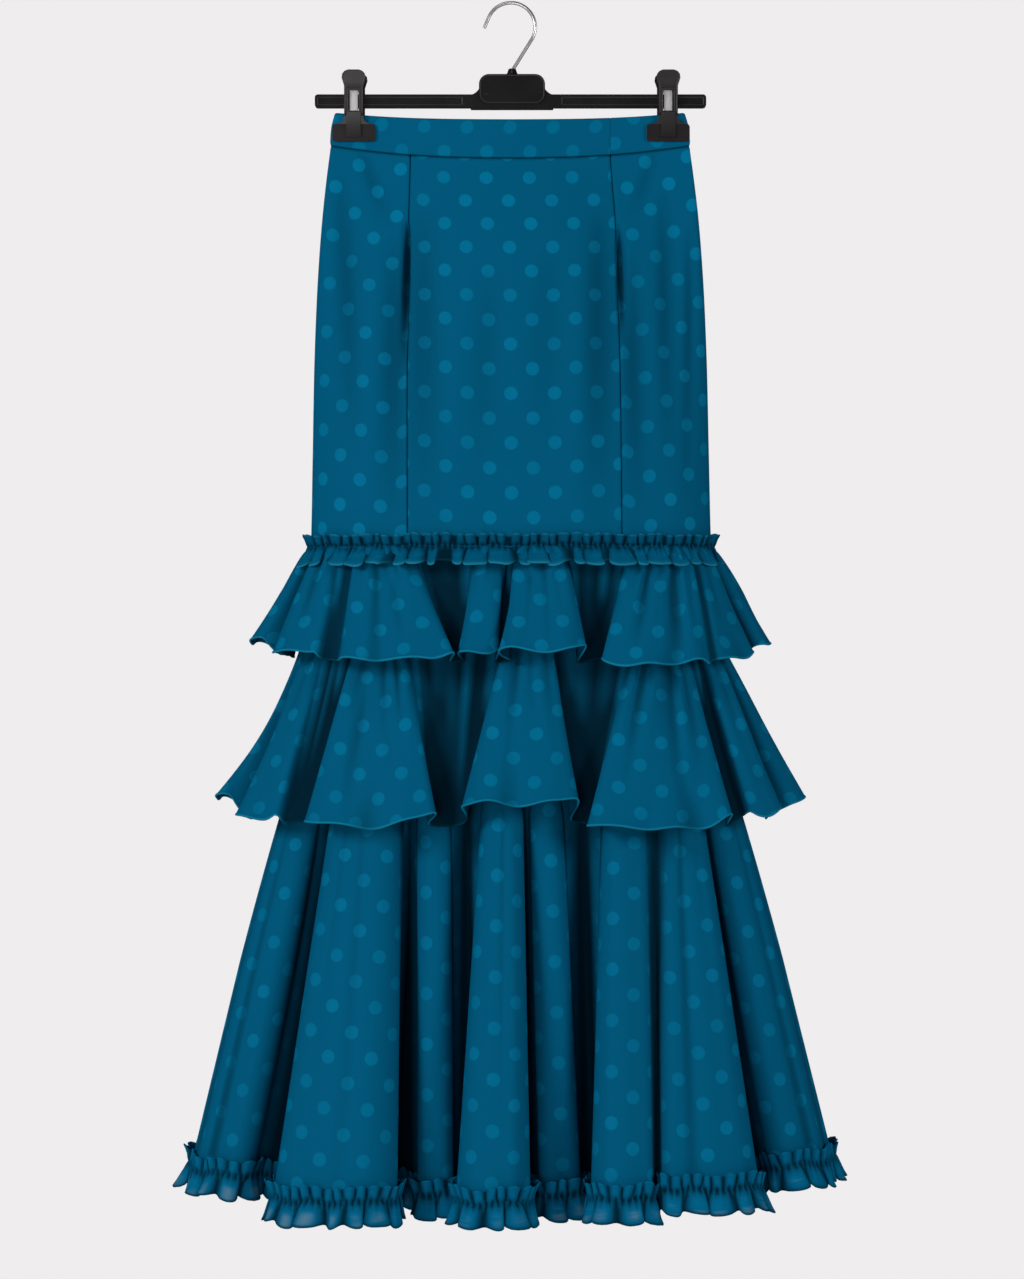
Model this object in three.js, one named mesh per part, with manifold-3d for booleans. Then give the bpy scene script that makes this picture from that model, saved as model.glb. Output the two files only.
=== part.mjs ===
// A long flamenco skirt hanging on a black clip hanger.
//
// Millimetres, +Z up, the front of the skirt faces -Y.
// The origin is the inside top of the hook, where it rests on a rail.
// Every piece of cloth is a closed wall, worked out from a grid of points on its outer face.

import * as THREE from 'three';
import { mergeVertices } from 'three/addons/utils/BufferGeometryUtils.js';
import Module from 'manifold-3d';

const wasm = await Module();
wasm.setup();

// ---------------------------------------------------------------- driving sizes

const CLOTH = 1.4; // wall of the waistband, the panels and the flounces
const FRILL_CLOTH = 1.0; // wall of the gathered frills
const SEAM_GAP = 0.3; // space left between neighbouring pieces
const SEAM_EASE = 0.7; // space between the panels and a flounce's upper edge
const SHALLOW_SPREAD = 0.2; // how much wider a fold's neck is beside a shallow valley

const BAND_TOP = -108.5; // height of the waistband's upper corners
const BAND_FOOT = -141.5; // height of the waist seam at the sides
const PINCH = 2.2; // half the thickness of the two cloths where a clip closes them
const CLIP_AT = 157; // centre of each clip from the middle
const BELLY_END = 150; // the waist opens between the clips, up to here
const EDGE_TURN = 0.86; // share of a half section that is flat, before its side edge turns
const SQUARE = 0.85; // below 1 the hip section is a little squarer than an ellipse

const FLOUNCE_TOP = [-543, -632, -757]; // seam heights of the three flounces
const BODY_FOOT = -757; // lower edge of the panels, at the last flounce's seam

// One row for each height of the body. Widths and depths are half sizes, round is how far
// the pinched waist has opened into an oval, sag is how much lower the middle hangs than the
// sides, and the two seam columns give the front seams' places from the middle.
const BODY_COLUMNS = ['z', 'width', 'front', 'back', 'round', 'lean', 'sag', 'seamL', 'seamR'];
const BODY = [
  [-108.5, 174.5, 15, 15, 0, -1.2, 13, -99, 99.5],
  [-121.5, 178.2, 16, 16, 0, -1.0, 13, -100, 99.5],
  [-141.5, 180.0, 18, 18, 0, -0.9, 13, -100.5, 99.5],
  [-170, 183.6, 25, 26, 0.14, -0.8, 11, -101, 101],
  [-210, 188.0, 35, 37, 0.36, -0.6, 8, -102, 104],
  [-270, 192.4, 47, 50, 0.66, -0.5, 4, -103, 106.5],
  [-350, 195.9, 57, 61, 0.9, -0.4, 1, -103, 108],
  [-450, 198.0, 64, 69, 1, -0.2, 0, -102.5, 109],
  [-543, 200.0, 68, 74, 1, 0, 0, -102, 109.5],
  [-757, 212.0, 77, 83, 1, 0, 0, -109, 116],
].map((row) => Object.fromEntries(BODY_COLUMNS.map((name, column) => [name, row[column]])));

// One row for each fold of a flounce, in order round the body from its left side (-90
// degrees) past the centre front (0), the right side (90) and the centre back (180).
// top and hem are its middle at the seam and at the hem, in degrees. spread is half its
// width at the seam, in degrees. width is across its two fold edges at the hem, reach is how
// far its crest stands out there, tuck is how far its neck goes in behind the fold edges,
// foot is the height of its hem, and dip is how deep the valley after it goes, 1 being the
// whole way back to the hem's base oval. rows are the grid's rows from the seam to the hem,
// close together where the folds begin.
const FLOUNCES = [
  {
    name: 'flounce_1',
    width: 225,
    front: 88,
    back: 94,
    valley: -656,
    rows: [0, 0.14, 0.45, 1],
    folds: [
      { top: -90, hem: -90, spread: 8, width: 58, reach: 34, tuck: 6, foot: -640, dip: 1 },
      { top: -66, hem: -63, spread: 10, width: 60, reach: 29, tuck: 6, foot: -649, dip: 0.45 },
      { top: -38.8, hem: -27.8, spread: 9.5, width: 108, reach: 34, tuck: 6, foot: -655, dip: 1 },
      { top: -6.3, hem: -7.7, spread: 4, width: 38, reach: 20, tuck: 3, foot: -650, dip: 1 },
      { top: 8.8, hem: 7.9, spread: 6.8, width: 85, reach: 35, tuck: 9, foot: -646, dip: 1 },
      { top: 47.5, hem: 35.4, spread: 12, width: 102, reach: 34, tuck: 8, foot: -659, dip: 0.35 },
      { top: 69, hem: 66, spread: 5.5, width: 50, reach: 28, tuck: 6, foot: -653, dip: 0.6 },
      { top: 90, hem: 90, spread: 8, width: 58, reach: 34, tuck: 6, foot: -640, dip: 1 },
      { top: 116, hem: 117, spread: 10, width: 72, reach: 32, tuck: 7, foot: -650, dip: 1 },
      { top: 146, hem: 147, spread: 9, width: 88, reach: 34, tuck: 8, foot: -656, dip: 1 },
      { top: 172, hem: 171, spread: 6, width: 62, reach: 33, tuck: 8, foot: -652, dip: 1 },
      { top: 199, hem: 195, spread: 9, width: 88, reach: 35, tuck: 8, foot: -657, dip: 1 },
      { top: 222, hem: 218, spread: 6, width: 56, reach: 30, tuck: 7, foot: -654, dip: 1 },
      { top: 246, hem: 243, spread: 8, width: 66, reach: 31, tuck: 7, foot: -649, dip: 1 },
    ],
  },
  {
    name: 'flounce_2',
    width: 255,
    front: 97,
    back: 103,
    valley: -812,
    rows: [0, 0.14, 0.45, 1],
    folds: [
      { top: -90, hem: -90, spread: 8, width: 62, reach: 38, tuck: 6, foot: -794, dip: 1 },
      { top: -69, hem: -66, spread: 7, width: 52, reach: 32, tuck: 6, foot: -802, dip: 0.7 },
      { top: -38, hem: -31.2, spread: 9.5, width: 130, reach: 36, tuck: 9, foot: -815, dip: 1 },
      { top: 4.3, hem: 1.7, spread: 7.4, width: 112, reach: 36, tuck: 6, foot: -793, dip: 1 },
      { top: 47.2, hem: 32.8, spread: 12, width: 146, reach: 36, tuck: 9, foot: -818, dip: 0.75 },
      { top: 70, hem: 67.5, spread: 6, width: 46, reach: 30, tuck: 6, foot: -806, dip: 1 },
      { top: 90, hem: 90, spread: 8, width: 62, reach: 38, tuck: 6, foot: -793, dip: 1 },
      { top: 115, hem: 116, spread: 9, width: 74, reach: 34, tuck: 7, foot: -804, dip: 1 },
      { top: 143, hem: 146, spread: 9, width: 110, reach: 38, tuck: 9, foot: -815, dip: 1 },
      { top: 175, hem: 174, spread: 7, width: 92, reach: 36, tuck: 8, foot: -806, dip: 1 },
      { top: 207, hem: 203, spread: 10, width: 118, reach: 38, tuck: 9, foot: -817, dip: 1 },
      { top: 241, hem: 239, spread: 9, width: 92, reach: 34, tuck: 7, foot: -807, dip: 1 },
    ],
  },
  {
    name: 'flounce_3',
    width: 283,
    front: 78,
    back: 86,
    valley: -1173,
    rows: [0, 0.14, 0.45, 1],
    folds: [
      { top: -90, hem: -90, spread: 7, width: 44, reach: 36, tuck: 6, foot: -1156, dip: 1 },
      { top: -68, hem: -66.5, spread: 8, width: 54, reach: 48, tuck: 8, foot: -1161, dip: 1 },
      { top: -41.6, hem: -35, spread: 10.5, width: 117, reach: 80, tuck: 16, foot: -1173, dip: 1 },
      { top: -21, hem: -14.6, spread: 3.3, width: 30, reach: 24, tuck: 5, foot: -1173, dip: 1 },
      { top: -2, hem: -3.3, spread: 3.6, width: 72, reach: 76, tuck: 16, foot: -1173, dip: 1 },
      { top: 9, hem: 8.4, spread: 3, width: 30, reach: 24, tuck: 5, foot: -1173, dip: 1 },
      { top: 32, hem: 20.7, spread: 5, width: 56, reach: 72, tuck: 14, foot: -1170, dip: 0.45 },
      { top: 51.6, hem: 40.5, spread: 5.5, width: 94, reach: 72, tuck: 15, foot: -1165, dip: 1 },
      { top: 70, hem: 67, spread: 7, width: 52, reach: 46, tuck: 8, foot: -1155, dip: 1 },
      { top: 90, hem: 90, spread: 7, width: 44, reach: 38, tuck: 6, foot: -1154, dip: 1 },
      { top: 112, hem: 113.5, spread: 8, width: 56, reach: 52, tuck: 9, foot: -1168, dip: 1 },
      { top: 137, hem: 142, spread: 9, width: 104, reach: 74, tuck: 16, foot: -1173, dip: 1 },
      { top: 158, hem: 161, spread: 3.5, width: 34, reach: 30, tuck: 5, foot: -1173, dip: 1 },
      { top: 178, hem: 178, spread: 6, width: 88, reach: 72, tuck: 16, foot: -1173, dip: 1 },
      { top: 197, hem: 196, spread: 3.5, width: 36, reach: 30, tuck: 5, foot: -1173, dip: 1 },
      { top: 220, hem: 216, spread: 9, width: 106, reach: 76, tuck: 16, foot: -1173, dip: 1 },
      { top: 248, hem: 246, spread: 8, width: 56, reach: 50, tuck: 9, foot: -1168, dip: 1 },
    ],
  },
];

// Where a fold's seven grid columns stand: across is their place in its half width at the
// hem, atSeam the same at the seam, out their share of its reach, and tucked says which of
// them the tuck draws in.
const FOLD_COLUMNS = [
  { across: -1, atSeam: -1, out: 0.12, tucked: 1 },
  { across: -1, atSeam: -0.8, out: 0.62, tucked: 0 },
  { across: -0.62, atSeam: -0.4, out: 0.95, tucked: 0 },
  { across: 0, atSeam: 0, out: 1, tucked: 0 },
  { across: 0.62, atSeam: 0.4, out: 0.95, tucked: 0 },
  { across: 1, atSeam: 0.8, out: 0.62, tucked: 0 },
  { across: 1, atSeam: 1, out: 0.12, tucked: 1 },
];

// A frill is a strip gathered along one line. Each row gives a height along what it is sewn
// to, its distance out from there, the swing of its waves, how much they rise and fall, and
// by how many columns they are shifted. In the valleys between folds the hem frill is
// pressed in to its tight values.
const HIP_FRILL = {
  waves: 72,
  rows: [
    { z: -531, out: 5.2, swing: 2.9, lift: 1.3, shift: 0 },
    { z: -542, out: 3.1, swing: 0.4, lift: 0, shift: 0 },
    { z: -556, out: 13, swing: 3, lift: 1.6, shift: 1 },
  ],
};
const HEM_FRILL = {
  waves: 84,
  rows: [
    { drop: -15, out: 6.6, swing: 2.6, tight: 3.4, tightSwing: 0.8, lift: 1.8, shift: 0 },
    { drop: -1, out: 4.4, swing: 0.3, tight: 2.8, tightSwing: 0, lift: 0, shift: 0 },
    { drop: 22, out: 6.0, swing: 3.2, tight: 2, tightSwing: 1, lift: 2.4, shift: 1 },
  ],
};
const WAVE_COLUMNS = 3;

// Hanger
const OUTLINE_STEPS = 3; // straight pieces in each rounded corner of a flat outline
const BAR = { left: -196, right: 195, top: -90.5, foot: -103.5, thick: 8, corner: 3 };
const CHANNEL = { margin: 7, top: -93, foot: -99, deep: 1.6, corner: 1 };
const PLATE = { left: -32, right: 34, top: -70.5, foot: -100.1, thick: 12, corner: 10 };
// The web that joins the bar to the plate in two hollow curves. sink is how far below the
// bar's top it starts, rise how high it climbs, overlap how far it runs into the plate and
// slope how much its foot draws in.
const WEB = { half: 47, foot: -105, thick: 9, sink: 1, rise: 9, overlap: 2, slope: 6 };
const COLLAR = {
  at: 1.2,
  foot: -70.2,
  shoulder: -68.4,
  top: -64.5,
  wide: 6,
  shoulderWide: 5.1,
  narrow: 3.6,
  sides: 12,
};
// The wire goes round the rail from its open end to where the slope begins, in degrees.
const HOOK = {
  wire: 3.5,
  bend: 24.2,
  sides: 8,
  steps: 36,
  arc: { from: 156, to: -32, steps: 11 },
  tip: { x: -26.8, below: 1 },
  slope: [
    { x: 12, z: -46 },
    { x: 3.8, z: -59 },
  ],
  shankTop: -65,
};
const BACK_LEVER_SHIFT = 1.2; // the back levers sit a little nearer the middle
const CLIP = {
  paddleTop: -67,
  paddleWide: 24,
  paddleCorner: { wide: 7, tall: 8 },
  stemWide: 19,
  stemTop: -82.5,
  shoulder: -114,
  jawWide: 43,
  jawTop: -120.5,
  jawFoot: -137.5,
  jawCorner: 3,
  plate: 2.6,
  windowWide: 11,
  windowTop: -86.5,
  windowFoot: -108,
  windowCorner: 2,
};
// How far a lever stands out from the middle plane: out round the bar, in at the jaw.
const LEVER_OUT = [
  { z: CLIP.paddleTop, out: 9.5 },
  { z: -84, out: 6.4 },
  { z: -106, out: 6.0 },
  { z: CLIP.jawTop, out: 3.0 },
  { z: CLIP.jawFoot, out: 2.9 },
];
const SPRING = { inner: 5.0, outer: 5.7, top: -86.5, foot: -107, wide: 8, archSteps: 6 };

// ---------------------------------------------------------------- materials

const cloth = new THREE.MeshStandardMaterial({ color: '#005a78', roughness: 0.8, metalness: 0 });
const plastic = new THREE.MeshStandardMaterial({ color: '#232123', roughness: 0.45, metalness: 0 });
const steel = new THREE.MeshStandardMaterial({ color: '#b9b9bb', roughness: 0.22, metalness: 1 });

const skirt = new THREE.Group();

function addPiece(name, geometry, material) {
  const mesh = new THREE.Mesh(geometry, material);
  mesh.name = name;
  skirt.add(mesh);
}

// ---------------------------------------------------------------- the body's form

const mix = THREE.MathUtils.lerp;
const radians = THREE.MathUtils.degToRad;

// The body's sizes at a height, between the two nearest rows of its table.
function bodyRow(z) {
  let row = 0;
  while (row < BODY.length - 2 && z < BODY[row + 1].z) row += 1;
  const upper = BODY[row];
  const lower = BODY[row + 1];
  const share = THREE.MathUtils.clamp((z - upper.z) / (lower.z - upper.z), 0, 1);
  const sizes = {};
  for (const key of Object.keys(upper)) sizes[key] = mix(upper[key], lower[key], share);
  return sizes;
}

// A point of the body's section. side is -1 for the front and 1 for the back, and across
// runs from -1 at the left side to 1 at the right.
function bodyPoint(side, across, z) {
  const { width, front, back, round, lean, sag } = bodyRow(z);
  const depth = side < 0 ? front : back;
  const way = Math.sign(across);
  const share = Math.abs(across);
  const waist = new THREE.Vector2();
  if (share < EDGE_TURN) {
    waist.x = ((width - PINCH) * share) / EDGE_TURN;
    const open = waist.x < BELLY_END ? Math.cos((Math.PI / 2) * (waist.x / BELLY_END)) ** 2 : 0;
    waist.y = PINCH + (depth - PINCH) * open;
  } else {
    const turn = ((Math.PI / 2) * (share - EDGE_TURN)) / (1 - EDGE_TURN);
    waist.set(width - PINCH + PINCH * Math.sin(turn), PINCH * Math.cos(turn));
  }
  const angle = (Math.PI / 2) * share;
  const oval = new THREE.Vector2(width * Math.sin(angle), depth * Math.cos(angle) ** SQUARE);
  if (share === 1) oval.y = 0;
  waist.lerp(oval, round);
  const hang = sag * (1 - Math.min(1, waist.x / width) ** 1.9);
  return new THREE.Vector3(lean + way * waist.x, side * waist.y, z - hang);
}

// How far across the front the body has a given x, by halving.
function acrossAt(x, z) {
  let low = -1;
  let high = 1;
  for (let step = 0; step < 40; step += 1) {
    const middle = (low + high) / 2;
    if (bodyPoint(-1, middle, z).x < x) low = middle;
    else high = middle;
  }
  return (low + high) / 2;
}

// A point of the hip's oval by its angle from the centre front.
function hipPoint(degrees, z) {
  const turn = ((((degrees + 90) % 360) + 360) % 360) - 90;
  if (turn <= 90) return bodyPoint(-1, turn / 90, z);
  return bodyPoint(1, (180 - turn) / 90, z);
}

// ---------------------------------------------------------------- cloth walls

// The level direction straight out of a closed row of points, at each of them.
function outward(row) {
  return row.map((point, c) => {
    const along = new THREE.Vector3().subVectors(row[(c + 1) % row.length], row.at(c - 1));
    return new THREE.Vector3(along.y, -along.x, 0).normalize();
  });
}

// The wall on columns first to last of a closed grid, with its outer face on the grid and
// both ends drawn back by half a seam gap.
function wall(grid, first, last, thick) {
  const normals = grid.map(outward);
  const count = grid[0].length;
  const columns = last - first + 1;
  const places = [];
  const inner = [];
  grid.forEach((row, r) => {
    for (let c = first; c <= last; c += 1) {
      const at = ((c % count) + count) % count;
      const before = row.at(at - 1);
      const after = row[(at + 1) % count];
      const point = row[at].clone();
      const pull = new THREE.Vector3();
      if (c === first) pull.subVectors(after, point);
      if (c === last) pull.subVectors(before, point);
      point.addScaledVector(pull.normalize(), SEAM_GAP / 2);
      places.push(point);
      inner.push(point.clone().addScaledVector(normals[r][at], -thick));
    }
  });
  return wallGeometry(places, inner, grid.length, columns);
}

// A closed mesh between two sheets of points with the same rows and columns.
function wallGeometry(outer, inner, rows, columns) {
  const positions = [];
  for (const point of [...outer, ...inner]) positions.push(point.x, point.y, point.z);
  const sheet = rows * columns;
  const faces = [];
  const quad = (a, b, c, d) => faces.push(a, b, c, a, c, d);
  for (let r = 0; r < rows - 1; r += 1) {
    for (let c = 0; c < columns - 1; c += 1) {
      const a = r * columns + c;
      const b = a + columns;
      quad(a, b, b + 1, a + 1);
      quad(sheet + a, sheet + a + 1, sheet + b + 1, sheet + b);
    }
  }
  for (let c = 0; c < columns - 1; c += 1) {
    const low = (rows - 1) * columns + c;
    quad(c, c + 1, sheet + c + 1, sheet + c);
    quad(low, sheet + low, sheet + low + 1, low + 1);
  }
  for (let r = 0; r < rows - 1; r += 1) {
    const a = r * columns;
    const b = a + columns;
    quad(a, sheet + a, sheet + b, b);
    quad(a + columns - 1, b + columns - 1, sheet + b + columns - 1, sheet + a + columns - 1);
  }
  const geometry = new THREE.BufferGeometry();
  geometry.setAttribute('position', new THREE.Float32BufferAttribute(positions, 3));
  geometry.setIndex(faces);
  return geometry;
}

// ---------------------------------------------------------------- waistband and panels

const PANEL_COLUMNS = { side: 7, centre: 8, back: 11 };
const BAND_ROWS = 3;
const PANEL_HEIGHTS = [BAND_FOOT - SEAM_GAP, -170, -210, -270, -350, -450, -543, BODY_FOOT];

// Places across a half section from its side edge in to a stop: two on the turned edge, and
// the others in equal steps.
function sideShares(stop, count) {
  const shares = [1, (1 + EDGE_TURN) / 2];
  for (let c = 0; c <= count - 2; c += 1) shares.push(mix(EDGE_TURN, stop, c / (count - 2)));
  return shares;
}

// One row of the body's grid: left side, front seams, right side, then round the back.
function bodyRing(z) {
  const { seamL, seamR } = bodyRow(z);
  const left = acrossAt(seamL, z);
  const right = acrossAt(seamR, z);
  const front = sideShares(-left, PANEL_COLUMNS.side).map((share) => -share);
  for (let c = 1; c < PANEL_COLUMNS.centre; c += 1) {
    front.push(mix(left, right, c / PANEL_COLUMNS.centre));
  }
  front.push(...sideShares(right, PANEL_COLUMNS.side).reverse());
  const half = sideShares(0, PANEL_COLUMNS.back);
  const behind = [...half.slice(1), ...half.slice(1, -1).reverse().map((share) => -share)];
  return [
    ...front.map((across) => bodyPoint(-1, across, z)),
    ...behind.map((across) => bodyPoint(1, across, z)),
  ];
}

const SEAM_LEFT = PANEL_COLUMNS.side;
const SEAM_RIGHT = SEAM_LEFT + PANEL_COLUMNS.centre;
const SIDE_RIGHT = SEAM_RIGHT + PANEL_COLUMNS.side;
const CENTRE_BACK = SIDE_RIGHT + PANEL_COLUMNS.back;
const SIDE_LEFT = CENTRE_BACK + PANEL_COLUMNS.back;

const bandGrid = [];
for (let r = 0; r <= BAND_ROWS; r += 1) {
  bandGrid.push(bodyRing(mix(BAND_TOP, BAND_FOOT, r / BAND_ROWS)));
}
const panelGrid = PANEL_HEIGHTS.map(bodyRing);

addPiece('waistband_front', wall(bandGrid, 0, SEAM_RIGHT, CLOTH), cloth);
addPiece('waistband_front_side', wall(bandGrid, SEAM_RIGHT, SIDE_RIGHT, CLOTH), cloth);
addPiece('waistband_back_right', wall(bandGrid, SIDE_RIGHT, CENTRE_BACK, CLOTH), cloth);
addPiece('waistband_back_left', wall(bandGrid, CENTRE_BACK, SIDE_LEFT, CLOTH), cloth);
addPiece('panel_front_left', wall(panelGrid, 0, SEAM_LEFT, CLOTH), cloth);
addPiece('panel_front_centre', wall(panelGrid, SEAM_LEFT, SEAM_RIGHT, CLOTH), cloth);
addPiece('panel_front_right', wall(panelGrid, SEAM_RIGHT, SIDE_RIGHT, CLOTH), cloth);
addPiece('panel_back_right', wall(panelGrid, SIDE_RIGHT, CENTRE_BACK, CLOTH), cloth);
addPiece('panel_back_left', wall(panelGrid, CENTRE_BACK, SIDE_LEFT, CLOTH), cloth);

// ---------------------------------------------------------------- flounces

// A point of an oval by its angle from the centre front, with its outward and forward
// directions round the body.
function ovalPoint(degrees, width, front, back) {
  const angle = radians(degrees);
  const depth = Math.cos(angle) > 0 ? front : back;
  const squared = Math.sign(Math.cos(angle)) * Math.abs(Math.cos(angle)) ** SQUARE;
  const point = new THREE.Vector2(width * Math.sin(angle), -depth * squared);
  const out = new THREE.Vector2(Math.sin(angle) / width, -Math.cos(angle) / depth).normalize();
  return { point, out, along: new THREE.Vector2(-out.y, out.x) };
}

// The seam line and the hem line of a flounce, with one point for each grid column, and the
// room that a frill has at each.
function flounceLines(flounce, seamZ) {
  const { folds, width, front, back, valley } = flounce;
  const seam = [];
  const hem = [];
  const room = [];
  folds.forEach((fold, index) => {
    const base = ovalPoint(fold.hem, width, front, back);
    for (const column of FOLD_COLUMNS) {
      const dip = column.across < 0 ? folds.at(index - 1).dip : fold.dip;
      const shallow = 1 + SHALLOW_SPREAD * (1 - dip);
      const drawn = fold.tuck * Math.max(0, 2 * dip - 1);
      const half = column.tucked ? (fold.width / 2) * shallow - drawn : fold.width / 2;
      const out = column.tucked ? 1 - dip * (1 - column.out) : column.out;
      const at = base.point.clone();
      at.addScaledVector(base.along, column.across * half);
      at.addScaledVector(base.out, out * fold.reach);
      hem.push(new THREE.Vector3(at.x, at.y, mix(valley, fold.foot, out)));
      seam.push(fold.top + column.atSeam * fold.spread);
      room.push(column.tucked ? 0 : 1);
    }
    const next = folds[(index + 1) % folds.length];
    const turn = index + 1 === folds.length ? 360 : 0;
    seam.push((fold.top + fold.spread + next.top + turn - next.spread) / 2);
    hem.push(new THREE.Vector3());
    room.push(0);
  });
  folds.forEach((fold, index) => {
    const column = (index + 1) * (FOLD_COLUMNS.length + 1) - 1;
    const neck = hem[column - 1];
    const nextNeck = hem[(column + 1) % hem.length];
    const out = new THREE.Vector3(nextNeck.y - neck.y, neck.x - nextNeck.x, 0).normalize();
    hem[column].addVectors(neck, nextNeck).multiplyScalar(0.5);
    hem[column].addScaledVector(out, -fold.dip * FOLD_COLUMNS[0].out * fold.reach);
  });
  return { seam: seam.map((degrees) => moveOut(degrees, seamZ, CLOTH + SEAM_EASE)), hem, room };
}

// A point of the hip's oval moved straight out from the body.
function moveOut(degrees, z, distance) {
  const here = hipPoint(degrees, z);
  const along = new THREE.Vector3().subVectors(hipPoint(degrees + 1, z), hipPoint(degrees - 1, z));
  const out = new THREE.Vector3(along.y, -along.x, 0).normalize();
  return here.addScaledVector(out, distance);
}

// The grid column at the crest of the fold that stands at an angle of the hem.
function crestColumn(flounce, degrees) {
  const fold = flounce.folds.findIndex((row) => row.hem === degrees);
  return fold * (FOLD_COLUMNS.length + 1) + (FOLD_COLUMNS.length - 1) / 2;
}

// The straight line that a column of the flounce follows, past the hem too.
function ruled(lines, column, share) {
  return new THREE.Vector3().lerpVectors(lines.seam[column], lines.hem[column], share);
}

const flounceLinesOf = FLOUNCES.map((flounce, index) => flounceLines(flounce, FLOUNCE_TOP[index]));

FLOUNCES.forEach((flounce, index) => {
  const lines = flounceLinesOf[index];
  const grid = flounce.rows.map((share) => lines.seam.map((point, column) => ruled(lines, column, share)));
  const left = crestColumn(flounce, -90);
  const right = crestColumn(flounce, 90);
  addPiece(`${flounce.name}_front`, wall(grid, left, right, CLOTH), cloth);
  addPiece(`${flounce.name}_back`, wall(grid, right, left + lines.seam.length, CLOTH), cloth);
});

// ---------------------------------------------------------------- frills

// The swing of a frill's wave at a column.
function wave(column, shift) {
  return Math.cos((2 * Math.PI * (column + shift)) / WAVE_COLUMNS);
}

const hipColumns = HIP_FRILL.waves * WAVE_COLUMNS;
const hipGrid = HIP_FRILL.rows.map((row) => {
  const ring = [];
  for (let c = 0; c < hipColumns; c += 1) {
    const around = evenTurn(c / hipColumns);
    const swing = wave(c, row.shift);
    ring.push(moveOut(around, row.z + row.lift * swing, row.out + row.swing * swing));
  }
  return ring;
});

// The angle at a share of the way round the hip, counted in equal lengths of cloth from the
// left side. The oval is long and flat, so equal angles would bunch the waves at its sides.
function evenTurn(share) {
  const z = HIP_FRILL.rows[1].z;
  const steps = 360;
  const lengths = [0];
  for (let step = 0; step < steps; step += 1) {
    lengths.push(lengths[step] + hipPoint(step - 90, z).distanceTo(hipPoint(step - 89, z)));
  }
  const wanted = share * lengths[steps];
  const step = lengths.findIndex((length, index) => length <= wanted && lengths[index + 1] > wanted);
  return step - 90 + (wanted - lengths[step]) / (lengths[step + 1] - lengths[step]);
}

addPiece('hip_frill_front', wall(hipGrid, 0, hipColumns / 2, FRILL_CLOTH), cloth);
addPiece('hip_frill_back', wall(hipGrid, hipColumns / 2, hipColumns, FRILL_CLOTH), cloth);

// The last flounce's hem, followed in equal lengths, carries the hem frill.
function hemStations(lines, count) {
  const hem = lines.hem;
  const lengths = [0];
  for (let c = 0; c < hem.length; c += 1) {
    lengths.push(lengths[c] + hem[c].distanceTo(hem[(c + 1) % hem.length]));
  }
  const total = lengths[hem.length];
  const start = lengths[(FOLD_COLUMNS.length - 1) / 2];
  const stations = [];
  for (let station = 0; station < count; station += 1) {
    const wanted = (start + (station * total) / count) % total;
    const column = lengths.findIndex((length, index) => length <= wanted && lengths[index + 1] > wanted);
    stations.push({ column, share: (wanted - lengths[column]) / (lengths[column + 1] - lengths[column]) });
  }
  return stations;
}

const lastFlounce = FLOUNCES.at(-1);
const lastLines = flounceLinesOf.at(-1);
const hemColumns = HEM_FRILL.waves * WAVE_COLUMNS;
const stations = hemStations(lastLines, hemColumns);
const lastColumns = lastLines.hem.length;

const hemGrid = HEM_FRILL.rows.map((row) => {
  const level = lastLines.seam.map((point, column) => {
    const length = lastLines.seam[column].distanceTo(lastLines.hem[column]);
    return ruled(lastLines, column, 1 + row.drop / length);
  });
  const normals = outward(level);
  return stations.map(({ column, share }, c) => {
    const next = (column + 1) % lastColumns;
    const point = level[column].clone().lerp(level[next], share);
    const out = normals[column].clone().lerp(normals[next], share).normalize();
    const room = mix(lastLines.room[column], lastLines.room[next], share);
    const swing = wave(c, row.shift);
    const distance = mix(row.tight, row.out, room) + mix(row.tightSwing, row.swing, room) * swing;
    point.z += row.lift * swing;
    return point.addScaledVector(out, distance);
  });
});

const hemRight = stations.findIndex(({ column }) => column >= crestColumn(lastFlounce, 90));
addPiece('hem_frill_front', wall(hemGrid, 0, hemRight, FRILL_CLOTH), cloth);
addPiece('hem_frill_back', wall(hemGrid, hemRight, hemColumns, FRILL_CLOTH), cloth);

// ---------------------------------------------------------------- hanger

// A flat outline in X and Z, extruded along Y about the plane y = middle.
function slab(shape, thick, middle) {
  const geometry = new THREE.ExtrudeGeometry(shape, {
    depth: thick,
    bevelEnabled: false,
    curveSegments: OUTLINE_STEPS,
  });
  geometry.rotateX(Math.PI / 2);
  geometry.translate(0, middle + thick / 2, 0);
  return geometry;
}

function roundedOutline(left, right, foot, top, corner) {
  const shape = new THREE.Shape();
  shape.moveTo(left + corner, foot);
  shape.lineTo(right - corner, foot);
  shape.absarc(right - corner, foot + corner, corner, -Math.PI / 2, 0);
  shape.lineTo(right, top - corner);
  shape.absarc(right - corner, top - corner, corner, 0, Math.PI / 2);
  shape.lineTo(left + corner, top);
  shape.absarc(left + corner, top - corner, corner, Math.PI / 2, Math.PI);
  shape.lineTo(left, foot + corner);
  shape.absarc(left + corner, foot + corner, corner, Math.PI, 1.5 * Math.PI);
  return shape;
}

const MERGE_WITHIN = 1e-4; // corners closer than this are one corner

function toSolid(geometry) {
  const bare = geometry.index ? geometry.toNonIndexed() : geometry.clone();
  bare.deleteAttribute('normal');
  bare.deleteAttribute('uv');
  const merged = mergeVertices(bare, MERGE_WITHIN);
  return new wasm.Manifold(
    new wasm.Mesh({
      numProp: 3,
      vertProperties: new Float32Array(merged.attributes.position.array),
      triVerts: new Uint32Array(merged.index.array),
    })
  );
}

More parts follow.
